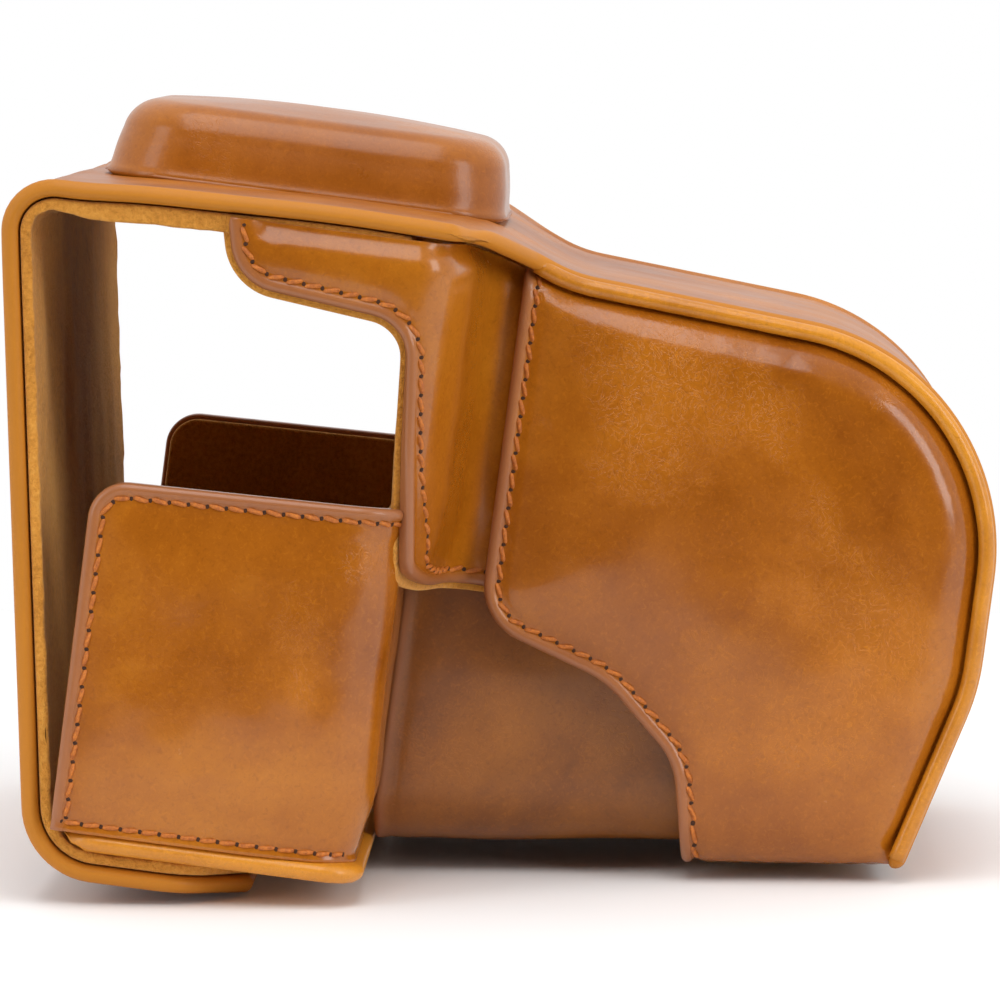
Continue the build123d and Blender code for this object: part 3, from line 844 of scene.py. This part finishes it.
UNDER_CORD = 0.95          # of the panel's edge is sewn in under the piping
front_edge = offset(STRIP_ROUTE.path, UNDER_CORD - 2.45)
front_edge = front_edge[front_edge[:, 0] > -6.6]
scallop = smooth_path(SCALLOP, SCALLOP_RADII, 1.0, 0.5)
scallop = scallop[scallop[:, 1] < front_edge[0, 1] - 0.05]
edge_t = to_table(front_edge)
scallop_t = to_table(scallop)
TAB = -9.0                 # the panel runs on this far under the box
foot_back = scallop_t[-1, 0] + 0.35
edge_t = edge_t[edge_t[:, 1] > 6.0]
foot_front = edge_t[-1, 0] - 1.2
under_box = [(foot_back, 3.0), (foot_back + 0.6, TAB + 2), (foot_back + 3, TAB), (foot_front - 5, TAB),
             (foot_front - 1.6, TAB + 3), (foot_front - 0.6, 2.5)]
panel_foot = spaced([scallop_t[-1], *under_box, edge_t[-1]], 1.0)[1:]
panel_outline = spaced(np.vstack([scallop_t, panel_foot, edge_t[::-1][1:]]), 1.2)
seam_path = np.vstack([scallop_t, [(foot_back, 3.0), (foot_back + 0.3, 0.4)]])


def panel_outer(points, depth):
    """A dome that falls steeply to the piping, over the ridge of its turned-in edge, and is flat below."""
    seam = edge_depth(points, seam_path)
    cord = np.maximum(edge_depth(points, edge_t) - UNDER_CORD, 0)
    above = points[:, 1]
    body = 2.35 - rounded(seam, 0.75, 0.55)
    body += 0.18 * bell(seam - 0.95, 0.6) - 0.40 * bell(seam - INSET, 0.75)
    low = smoothstep(0.0, 20, above)
    puff = 2.1 * (1 - np.exp(-np.maximum(seam - 2.2, 0) / 9.0)) * (0.15 + 0.85 * low)
    fall = np.clip(1 - cord / 4.6, 0, 1)
    near_cord = 2.25 * (1 - np.sqrt(np.maximum(1 - fall ** 2.9, 0)))
    ridge = 0.30 * bell(cord - 2.5, 0.75) * smoothstep(0.5, 5, seam)
    soft = (0.08 * ripple(points, 21, 5.5) + 0.05 * ripple(points, 6, 2.5)) * smoothstep(3, 9, seam)
    soft *= smoothstep(3, 9, cord)
    flat = smoothstep(4.0, -3.0, above)
    return (body + puff * smoothstep(0, 5, cord) - near_cord + ridge + soft) * (1 - 0.85 * flat)


def panel_inner(points, depth):
    return 0.12 - 1.6 * smoothstep(6.0, -1.0, points[:, 1])


CORD_RADIUS = 1.12
cord_line = offset(STRIP_ROUTE.path, -1.2)
CORD_ROUTE = Route(cord_line[cord_line[:, 0] > -5.5])


def piping(name, hand):
    """A stuffed cord of leather along the edge of the box."""
    around = 14
    s = np.arange(0, CORD_ROUTE.length - 0.5, 1.2)
    verts = []
    for along, p, n in zip(s, *CORD_ROUTE.at(s)[::2]):
        radius = CORD_RADIUS + 0.05 * noise.noise(Vector((along / 5, hand, 0)))
        for j in range(around):
            a = 2 * pi * j / around
            out = p + n * radius * sin(a)
            verts.append((hand * (BOX_HALF + 1.25 + radius * cos(a)), out[0], out[1]))
    faces = [*bands(len(s), around), lid(around)[::-1], lid(around, (len(s) - 1) * around)]
    # Its lighter leather is a painted highlight.
    return mesh_object(name, row(verts), faces, BEAD_PAINTED_HIGHLIGHT, np.zeros(len(verts)))


panel_line = offset(seam_path, INSET)
panel_line = panel_line[panel_line[:, 1] > 3.0]
for hand_name, hand in HANDS:
    put = mirrored(panel_put, hand)
    panel = sheet(f"lens_panel_{hand_name}_shell", panel_outline, put, panel_outer, panel_inner, TAN,
                  grid=1.6, cut_path=seam_path)
    fit(panel, "tan_leather", "cover", f"lens_panel_{hand_name}")
    stitches(f"lens_stitches_{hand_name}", panel_line, put, on_top(panel_outer), "cover")
    fit(piping(f"piping_cord_{hand_name}", hand), "piping_leather", "cover", f"piping_{hand_name}")

# ---------------------------------------------------------------- underside of the lens box
def sole_place(points, height):
    """u runs ahead along the table, v is right."""
    f, h = from_table(points[:, 0], height)
    return np.column_stack([points[:, 1], f, h])


SOLE_BACK, SOLE_FRONT = 25.0 * cos(TILT) + 0.6, 50.2 * cos(TILT) + 1.0
SOLE_MIDDLE = ((SOLE_BACK + SOLE_FRONT) / 2, 0)
SOLE_SLOPE = (FOOT_EDGE - FOOT_MIDDLE) / PANEL_R       # it sags from the sides to the middle


def sole_upper(points, depth):
    return 2.3 + np.abs(points[:, 1]) * SOLE_SLOPE


def sole_under(points, depth):
    soft = 0.1 * ripple(points, 12, 1.1) * smoothstep(1, 5, depth)
    return 0.2 + np.hypot(points[:, 1], 6.0) * SOLE_SLOPE + rounded(depth, 0.9, 0.7) + soft


sole_outline = round_rect(SOLE_MIDDLE, (SOLE_FRONT - SOLE_BACK) / 2, 31.0, 2.0)
sole = sheet("lens_bottom_sole", sole_outline, sole_place, sole_upper, sole_under, TAN, grid=2.4)
fit(sole, "tan_leather", "cover", "lens_bottom_leather")

# ---------------------------------------------------------------- hump
def hump_rings():
    """The moulded hump from its foot to its top: (half width, half length, corner, up, ahead)."""
    back, front, across = radians(9), radians(3.5), radians(7)     # slopes of its walls
    bend = 5.0             # radius of its upper edge
    edge_up = 10.5         # where that bend ends
    dome = 1.3             # the middle's height above that
    flare_up = 0.8         # how fast the flare at the foot dies away
    last_turn = pi / 2 - 0.10
    straight = edge_up - bend * (sin(last_turn) - sin(across))
    lean, drift = (tan(back) + tan(front)) / 2, (tan(back) - tan(front)) / 2
    rings = []
    for up in np.linspace(0.0, straight, 10):
        flare = 0.7 * np.exp(-up / flare_up) + 0.25 * sin(pi * up / straight)
        rings.append((HUMP_HALF_WIDTH - up * tan(across) + flare, HUMP_HALF_LENGTH - up * lean + flare,
                      HUMP_FOOT_CORNER, up, up * drift))
    half_w, half_l, corner, _, ahead = rings[-1]
    for turn in np.linspace(across, last_turn, 14)[1:]:
        out = bend * (cos(across) - cos(turn))
        up = straight + bend * (sin(turn) - sin(across))
        rings.append((half_w - out, half_l - out, corner - out * 0.5, up, ahead + drift * (up - straight)))
    half_w, half_l, corner, edge_up, ahead = rings[-1]
    for k in 1 - np.linspace(0.06, 0.95, 14):
        rings.append((half_w * k, half_l * k, corner * k, edge_up + dome * (1 - k ** 2), ahead))
    return rings


def hump_shell(rings):
    """A domed shell made of rounded rectangles, one above the other."""
    corner_steps, side_steps = 11, 14
    signs = [(1, 1), (-1, 1), (-1, -1), (1, -1)]
    verts = []
    for half_w, half_l, corner, up, ahead in rings:
        corner = min(corner, half_w - 0.3, half_l - 0.3)
        for quarter, (sx, sy) in enumerate(signs):
            start, end = quarter * pi / 2, (quarter + 1) * pi / 2
            middle = np.array([sx * (half_w - corner), sy * (half_l - corner)])
            nx, ny = signs[(quarter + 1) % 4]
            onward = np.array([nx * (half_w - corner), ny * (half_l - corner)])
            turns = np.linspace(start, end, corner_steps)
            loop = [middle + corner * np.array([cos(t), sin(t)]) for t in turns]
            step = corner * np.array([cos(end), sin(end)])
            loop += [middle + step + (onward - middle) * k / side_steps for k in range(1, side_steps)]
            verts += [(x, y + HUMP_MIDDLE + ahead, up + COVER_TOP) for x, y in loop]
    per = len(verts) // len(rings)
    last = len(verts) - per
    verts.append((0, HUMP_MIDDLE + rings[-1][4], rings[-1][3] + COVER_TOP + 0.003))
    faces = bands(len(rings), per)
    faces += [(last + j, last + (j + 1) % per, len(verts) - 1) for j in range(per)]
    return mesh_object("hump_shell", row(verts), faces, TAN_HUMP, np.zeros(len(verts)))


hump = hump_shell(hump_rings())
wall = hump.modifiers.new("wall", "SOLIDIFY")
wall.thickness = 0.0016
wall.offset = -1
fit(hump, "tan_leather", "cover", "hump_leather")


def hump_level(points, height):
    """u is ahead of the hump's middle, v is right; heights are above the strip."""
    return np.column_stack([points[:, 1], points[:, 0] + HUMP_MIDDLE, COVER_TOP + height])


def hump_plan(out):
    """The hump's foot, moved outwards."""
    return round_rect((0, 0), HUMP_HALF_LENGTH + out, HUMP_HALF_WIDTH + out, HUMP_FOOT_CORNER + out)


def flange_outer(points, depth):
    return 0.35 - rounded(depth, 0.6, 0.25) + 0.05 * ripple(points, 4, 2.2)


flange = sheet("hump_flange_rim", hump_plan(0.8), hump_level, flange_outer,
               lambda p, d: np.full(len(p), -0.1), TAN_HUMP, grid=2.4, holes=[hump_plan(-0.9)],
               rings=[0, 0.15, 0.4, 0.75])
fit(flange, "tan_leather", "cover", "hump_flange")

# ---------------------------------------------------------------- half case: pouch walls
WALL_FRONT = -17.5         # its plan is (right, forward): along the side, then in to the cradle
WALL_ROUTE = Route(smooth_path([(63.0, -58.8), (63.0, WALL_FRONT), (34.8, WALL_FRONT)], [7.0], 0.8, 0.35))
wall_put = on_plan(WALL_ROUTE)
WALL_END = WALL_ROUTE.length - 0.5
WALL_LOW = 0.9
WALL_TOP = 48.2            # its back end is a little lower
WALL_CORNER = WALL_ROUTE.where(1, -22.0)
wall_corners = [(0.0, WALL_LOW), (0.0, WALL_TOP - 0.9), (WALL_CORNER, WALL_TOP), (WALL_END, WALL_TOP)]
wall_seam = smooth_path(wall_corners, [5.0, 30.0], 1.0, 0.5)
wall_rest = spaced([wall_corners[-1], (WALL_END, WALL_LOW), wall_corners[0]], 1.2)[1:-1]
wall_outline = np.vstack([wall_seam, wall_rest])


WALL_FOOT_INSET = 1.25     # of the stitches along its foot


def plain_inner(points, depth):
    """The flat inner face of a wall 2 mm thick."""
    return -2.0 + rounded(depth, 0.6, 0.4)


def wall_outer(points, depth):
    """Puffed inside its stitches, and fuller along the side than round its front corner."""
    seam = edge_depth(points, wall_seam)
    foot = points[:, 1] - WALL_LOW
    past_corner = points[:, 0] - WALL_CORNER
    puff = 1.1 * (1 - np.exp(-np.maximum(seam - 3, 0) / 6)) * smoothstep(2.0, 9, foot)
    puff += 0.5 - 1.5 * smoothstep(-13, 5, past_corner) * smoothstep(0, 6, seam)
    groove = -0.32 * bell(seam - INSET, 0.7) - 0.35 * bell(foot - WALL_FOOT_INSET, 0.7)
    soft = (0.30 * ripple(points, 15, 7.7) + 0.08 * ripple(points, 5, 1.7)) * smoothstep(3, 8, seam)
    soft *= smoothstep(2, 8, foot)
    bead = 0.15 * bell(seam - 0.9, 0.5)
    return puff + groove + soft + bead - rounded(np.minimum(seam, foot + 0.2), 0.8, 0.6)


wall_line = offset(wall_seam, -INSET)
wall_line = trimmed(wall_line, 1.5, Route(wall_line).length - 8)
WALL_FOOT = WALL_LOW + WALL_FOOT_INSET
wall_foot_line = [(1.2, WALL_FOOT), (WALL_ROUTE.where(1, -18.6) - 1.0, WALL_FOOT)]
for hand_name, hand in HANDS:
    put = mirrored(wall_put, hand)
    pouch = sheet(f"pouch_wall_{hand_name}", wall_outline, put, wall_outer, plain_inner, TAN, grid=1.7,
                  cut_path=wall_seam)
    fit(pouch, "tan_leather", "half_case", f"wall_leather_{hand_name}")
    stitches(f"pouch_stitches_{hand_name}", wall_line, put, on_top(wall_outer), "half_case", lean=-0.18)
    stitches(f"pouch_foot_stitches_{hand_name}", wall_foot_line, put, on_top(wall_outer), "half_case",
             lean=0.10)

# ---------------------------------------------------------------- half case: base
BASE_MIDDLE = (-57.9 + WALL_FRONT) / 2
BASE_HALF_LENGTH = 20.2
BASE_HALF_WIDTH = 63.2
BASE_CORNER = 5.2
SCREW_FORWARD = -37.0
SCREW_HOLE = 8.2           # radius of the opening round the screw
HOLE_STEPS = 48
# (inset, up): narrow inside the walls, then a roll below them, then the underside's rounded edge.
BASE_PROFILE = [(3.2, 3.9), (2.3, 3.6), (2.15, 1.6), (2.0, 1.1), (1.2, 0.95), (0.45, 0.75), (0.05, 0.35),
                (-0.1, -0.1)]
for t in np.linspace(0.15, 1, 7):
    BASE_PROFILE.append((2.0 * (1 - cos(t * pi / 2)) - 0.1, -0.15 - 1.5 * sin(t * pi / 2)))


def circle(middle, radius, steps):
    """Points (forward, right) round a centre on the middle line."""
    turns = np.linspace(0, 2 * pi, steps, endpoint=False)
    return [(middle + radius * sin(t), radius * cos(t)) for t in turns]


def base_level(points, height):
    """u is forward, v is right; heights are above the case frame's own level."""
    return np.column_stack([points[:, 1], points[:, 0], height])


def base_loops():
    """Outlines of the base from its upper face to its underside, with one number of points."""
    loops, around = [], None
    for inset, _ in BASE_PROFILE:
        corner = max(BASE_CORNER - inset, 1.5)
        loop = round_rect((BASE_MIDDLE, 0), BASE_HALF_LENGTH - inset, BASE_HALF_WIDTH - inset, corner, 2.0)
        around = around or len(loop)
        route = Route(np.vstack([loop, loop[:1]]))
        loops.append(route.at(np.linspace(0, 1, around, endpoint=False) * route.length)[0])
    return loops, around


def base_underside(edge):
    """The flat underside with the screw's opening: its points, its faces and the opening's points."""
    around = len(edge)
    fill = [tuple(p) for p in edge] + circle(SCREW_FORWARD, SCREW_HOLE, HOLE_STEPS)
    edges = [(i, (i + 1) % around) for i in range(around)]
    edges += [(around + i, around + (i + 1) % HOLE_STEPS) for i in range(HOLE_STEPS)]
    gu, gv = np.meshgrid(np.arange(-56, -18, 3.0), np.arange(-60, 60.1, 3.0), indexing="ij")
    cloud = np.column_stack([gu.ravel(), gv.ravel()])
    clear = within(cloud, edge) & (away(cloud, edge) > 1.2)
    clear &= np.hypot(cloud[:, 0] - SCREW_FORWARD, cloud[:, 1]) > SCREW_HOLE + 1.8
    fill += [tuple(p) for p in cloud[clear]]
    made, _, faces, origins, *_ = delaunay_2d_cdt([Vector(p) for p in fill], edges, [], 0, 1e-5)
    made = np.array([tuple(v) for v in made])
    middles = np.array([made[list(f)].mean(0) for f in faces])
    from_screw = np.hypot(middles[:, 0] - SCREW_FORWARD, middles[:, 1])
    good = within(middles, edge) & (from_screw > SCREW_HOLE - 0.1)
    opening_at = [next(n for n, o in enumerate(origins) if around + i in o) for i in range(HOLE_STEPS)]
    return made, [f for f, g in zip(faces, good) if g], opening_at


def base_block():
    """The base: the profile's loops, the underside and a short wall inside the opening."""
    loops, around = base_loops()
    verts = [(r, f, up) for loop, (_, up) in zip(loops, BASE_PROFILE) for f, r in loop]
    faces = bands(len(loops), around)
    shift = len(verts)
    made, under_faces, opening_at = base_underside(loops[-1])
    verts += [(r, f, BASE_PROFILE[-1][1]) for f, r in made]
    faces += [tuple(i + shift for i in f) for f in under_faces]
    wall_at = len(verts)
    verts += [(r, f, -0.2) for f, r in circle(SCREW_FORWARD, SCREW_HOLE, HOLE_STEPS)]
    for i in range(HOLE_STEPS):
        onward = (i + 1) % HOLE_STEPS
        faces.append((opening_at[i] + shift, opening_at[onward] + shift, wall_at + onward, wall_at + i))
    verts = np.array(verts)
    # The lower back edge is rounder, to clear the flap's bend.
    back_bend, back_start = 5.2, -52.9
    back = np.clip(back_start - verts[:, 1], 0, back_bend - 0.1)
    low = -1.6 + back_bend - np.sqrt(back_bend ** 2 - back ** 2)
    verts[:, 2] = np.maximum(verts[:, 2], low)
    rim = np.zeros(len(verts))
    rim[:shift] = 0.25
    # Its lighter leather is a painted highlight on the base's roll.
    return mesh_object("base_block", row(verts), faces, BEAD_PAINTED_HIGHLIGHT, rim)


base = base_block()
weld = bmesh.new()
weld.from_mesh(base.data)
bmesh.ops.remove_doubles(weld, verts=weld.verts, dist=0.00002)
bmesh.ops.recalc_face_normals(weld, faces=weld.faces)
weld.to_mesh(base.data)
weld.free()
fit(base, "tan_leather", "half_case", "base_leather")

# ---------------------------------------------------------------- half case: lens cradle
# A trough: its section is (right, above the table), and its sides fall away to the front.
CRADLE_HALF = 34.8
CRADLE_RIM = 60.0
CRADLE_LOW = 4.2
CRADLE_SECTION = [(CRADLE_HALF, CRADLE_RIM), (CRADLE_HALF, CRADLE_LOW), (-CRADLE_HALF, CRADLE_LOW),
                  (-CRADLE_HALF, CRADLE_RIM)]
CRADLE_ROUTE = Route(smooth_path(CRADLE_SECTION, [8, 8], 0.8, 0.4))
CRADLE_OUT = np.sign(CRADLE_ROUTE.at([3.0])[2][0, 0])


def cradle_put(points, height):
    """u runs round the trough, v is ahead along the table."""
    out = raised(CRADLE_ROUTE, points[:, 0], height * CRADLE_OUT)
    f, h = from_table(points[:, 1], out[:, 1])
    return np.column_stack([out[:, 0], f, h])


def cradle_outer(points, depth):
    soft = 0.35 * ripple(points, 18, 9.1) * smoothstep(3, 10, depth)
    return -rounded(depth, 0.8, 0.6) - 0.2 * bell(depth - 2.4, 0.8) + soft


cradle_side = to_table([(WALL_FRONT, 46.0), (-4.0, 43.0), (24.0, 25.0), (34.0, 21.0), (34.0, 0.0)])
cradle_half = [(CRADLE_RIM - above, ahead) for ahead, above in cradle_side]
first_u, front = cradle_half[0][0], cradle_half[-1][1]
back_high = to_table([(WALL_FRONT, 20.0)])[0, 0] + 3.3
back_low = to_table([(WALL_FRONT, 2.0)])[0, 0]
one_side = [(first_u, back_high)] + cradle_half[1:-1] + [(cradle_half[-2][0] + 10, front)]
other_side = [(CRADLE_ROUTE.length - u, ahead) for u, ahead in one_side[::-1]]
back_edge = [(CRADLE_ROUTE.length - first_u - 40, back_low), (first_u + 40, back_low)]
corners = one_side + other_side + back_edge
radii = [0.5] + [3] * (len(corners) - 1)
cradle_loop = smooth_path([corners[-1]] + corners + [corners[0]], radii, 1.4, 0.6)[:-1]
# The cradle's darker leather is painted shade.
cradle = sheet("lens_cradle", cradle_loop, cradle_put, cradle_outer, plain_inner, TAN_PAINTED_SHADE, grid=2.2)
fit(cradle, "tan_leather", "half_case", "cradle_leather")

# ---------------------------------------------------------------- suede linings
def lining(name, node, outline, place, near, far, body, grid=2.6, holes=()):
    """A thin layer of suede between two heights of a placing, its cut edges soft and a little ragged."""
    middle, half = (near + far) / 2, (near - far) / 2
    edge = half * 0.75

    def side(direction):
        def height(points, depth):
            soft = 0.12 * ripple(points, 2.1, 3.0 + direction)
            return middle + direction * (half - rounded(depth, edge, edge)) + soft
        return height
    # Its dimmer suede is painted shade.
    piece = sheet(name, outline, place, side(1), side(-1), SUEDE_PAINTED_SHADE, grid=grid, holes=holes,
                  rings=SUEDE_RINGS)
    fit(piece, "suede_lining", body, node)


def inset_loop(path, depth):
    """A closed outline moved inwards, without the points that would cross over."""
    path = turning(path)
    moved = offset(path, depth, True)
    return moved[(away(moved, path) > depth * 0.9) & within(moved, path)]


def lens_side_put(points, height):
    """(forward, up) on the inner face of the lens box's side."""
    return np.column_stack([PANEL_R + height, points])


def lens_side_outline():
    """The lens box's side between the scallop, the strip and the sole, as points (forward, up)."""
    top = offset(STRIP_ROUTE.path, -3.2)
    back = smooth_path([(f + 6.2, h) for f, h in SCALLOP[:-1]] + [(31.6, 8.0)], SCALLOP_RADII, 1.2, 0.6)
    foot_level = from_table(np.array([26.0, 60.0]), np.array([3.6, 3.6]))
    foot = lambda f: np.interp(f, *foot_level)
    top = top[(top[:, 0] > back[0, 0]) & (top[:, 1] > foot(top[:, 0]))]
    back = back[(back[:, 1] < top[0, 1]) & (back[:, 1] > foot(back[:, 0]))]
    ends = np.array([back[-1], (back[-1, 0], foot(back[-1, 0])), (top[-1, 0], foot(top[-1, 0])), top[-1]])
    return np.vstack([back, spaced(ends, 1.5)[1:], top[::-1][1:]])


pouch_suede_outline = inset_loop(wall_outline, 0.7)
lens_lining_outline = lens_side_outline()
for hand_name, hand in HANDS:
    lining(f"pouch_suede_{hand_name}", f"wall_lining_{hand_name}", pouch_suede_outline,
           mirrored(wall_put, hand), -2.05, -3.0, "half_case")
    lining(f"lens_side_suede_{hand_name}", f"lens_lining_{hand_name}", lens_lining_outline,
           mirrored(lens_side_put, hand), -0.1, -1.0, "cover", grid=3.0)
lining("cradle_suede", "cradle_lining", inset_loop(cradle_loop, 0.9), cradle_put, -2.05, -3.0, "half_case",
       grid=3.0)
lining("base_suede", "base_lining", round_rect((BASE_MIDDLE, 0), 15.2, 61.6, 3), base_level, 3.95, 3.0,
       "half_case", grid=3.0, holes=[circle(SCREW_FORWARD, 5.3, 40)])
lining("lens_bottom_suede", "lens_bottom_lining", round_rect(SOLE_MIDDLE, 11.8, 30.0, 1.5), sole_place,
       3.0, 2.35, "cover", grid=3.0)
lining("hump_suede", "hump_lining", round_rect((0, 0), 21.0, 16.5, 5), hump_level, 9.3, 8.5, "cover",
       grid=3.0)

BOX_ROUTE = Route(offset(STRIP_ROUTE.path, -2.15)[STRIP_ROUTE.path[:, 0] > 2.0])


def box_place(points, height):
    """u runs over the lens box and down its front, v is right."""
    return np.column_stack([points[:, 1], raised(BOX_ROUTE, points[:, 0], height)])


box_half = BOX_ROUTE.length / 2
lining("lens_top_suede", "lens_top_lining", round_rect((box_half, 0), box_half - 0.5, 36.9, 1.5), box_place,
       0.0, -0.85, "cover")

# ---------------------------------------------------------------- tongue's caps, front pad
CAP_PROFILE = [(0.0, -0.62), (1.6, -0.62), (2.9, -0.58), (3.55, -0.42), (3.95, -0.1), (4.0, 0.25),
               (3.9, 0.5)]            # radius and height, from its middle
CAP_RIGHT = 40.0
CAP_FORWARD = -36.6
CAP_UP = -5.6
for hand_name, hand in HANDS:
    around = 40
    verts = [(hand * CAP_RIGHT + r, f, CAP_UP + up) for radius, up in CAP_PROFILE
             for f, r in circle(CAP_FORWARD, radius, around)]
    cap = mesh_object(f"magnet_cap_{hand_name}", row(verts), bands(len(CAP_PROFILE), around), DARK_METAL)
    fit(cap, "antique_metal", "flap")
    if hand_name == "right":
        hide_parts("magnet_caps")


PAD_FORWARD = 53.6


def pad_place(points, height):
    """u is up, v is right, heights are forward inside the lens box's front."""
    return np.column_stack([points[:, 1], PAD_FORWARD + height, points[:, 0]])


pad = sheet("front_foam_pad", round_rect((44, 0), 11, 22, 3), pad_place,
            lambda p, d: 3.0 - rounded(d, 2.0, 1.3), lambda p, d: 0.9 * np.exp(-d / 2.5) + 0.02, FOAM,
            grid=1.8)
fit(pad, "foam", "cover", "front_pad")

# ---------------------------------------------------------------- room, light and camera
scene = bpy.context.scene
scene.view_settings.view_transform = "Standard"
scene.view_settings.look = "None"

floor_shader = material_nodes("pale_floor")
floor_grain = floor_shader.noise(3, 3, 0.5)
floor_tone = floor_shader.ramp(floor_grain, (0.3, (0.86, 0.86, 0.86)), (0.7, (0.9, 0.9, 0.9)))
PALE = floor_shader.set(Base_Color=floor_tone, Roughness=0.75)
NEAR, BEYOND, SIDE, DROP = -0.27, 0.3, 0.9, -0.0002
ground_mesh = bpy.data.meshes.new("floor")
ground_corners = [(NEAR, -SIDE, DROP), (BEYOND, -SIDE, DROP), (BEYOND, SIDE, DROP), (NEAR, SIDE, DROP)]
ground_mesh.from_pydata(ground_corners, [], [(0, 1, 2, 3)])
ground_mesh.materials.append(PALE)
ground = bpy.data.objects.new("floor", ground_mesh)
scene.collection.objects.link(ground)

# The studio is bright all round except on the camera's side, as the reflections show.
studio = Shader(bpy.data.worlds.new("studio"), "Background")
scene.world = studio.owner
ahead = studio.node("SeparateXYZ", "X", {"Vector": studio.node("TexCoord", "Generated")})
shade = studio.range(ahead, -0.92, 0.05, 0.06, 1.0)
seen = studio.node("LightPath", "Is Camera Ray")
strength = studio.node("Mix", "Result", {"Factor": seen, "A": shade, "B": 1.0})
studio.set(Strength=strength, Color=(1, 1, 1, 1))


def lamp(name, place, size, size_y, power):
    """A soft box that faces the case."""
    data = bpy.data.lights.new(name, "AREA")
    data.shape = "RECTANGLE"
    data.size = size
    data.size_y = size_y
    data.energy = power
    obj = bpy.data.objects.new(name, data)
    scene.collection.objects.link(obj)
    obj.location = place
    obj.rotation_euler = (Vector((0, 0, 0.05)) - Vector(place)).to_track_quat("-Z", "Y").to_euler()


lamp("top_soft", (-0.42, 0.0, 0.95), 0.5, 1.1, 6.0)
lamp("side_soft", (-0.62, 0.80, 0.42), 0.4, 0.7, 2.8)
lamp("front_soft", (-0.62, -0.85, 0.42), 0.4, 0.7, 4.6)

camera_data = bpy.data.cameras.new("camera")
camera = bpy.data.objects.new("camera", camera_data)
scene.collection.objects.link(camera)
scene.camera = camera
camera_data.lens = 203.9
camera_data.sensor_width = 36
camera_data.clip_end = 20
PSI, LOOK_DOWN, FAR = radians(1.335), radians(5.016), 0.800
view = Vector((cos(LOOK_DOWN) * cos(PSI), cos(LOOK_DOWN) * sin(PSI), -sin(LOOK_DOWN)))
target = Vector((0, 0.00199, 0.0483))
camera.location = target - view * FAR
camera.rotation_euler = view.to_track_quat("-Z", "Y").to_euler()
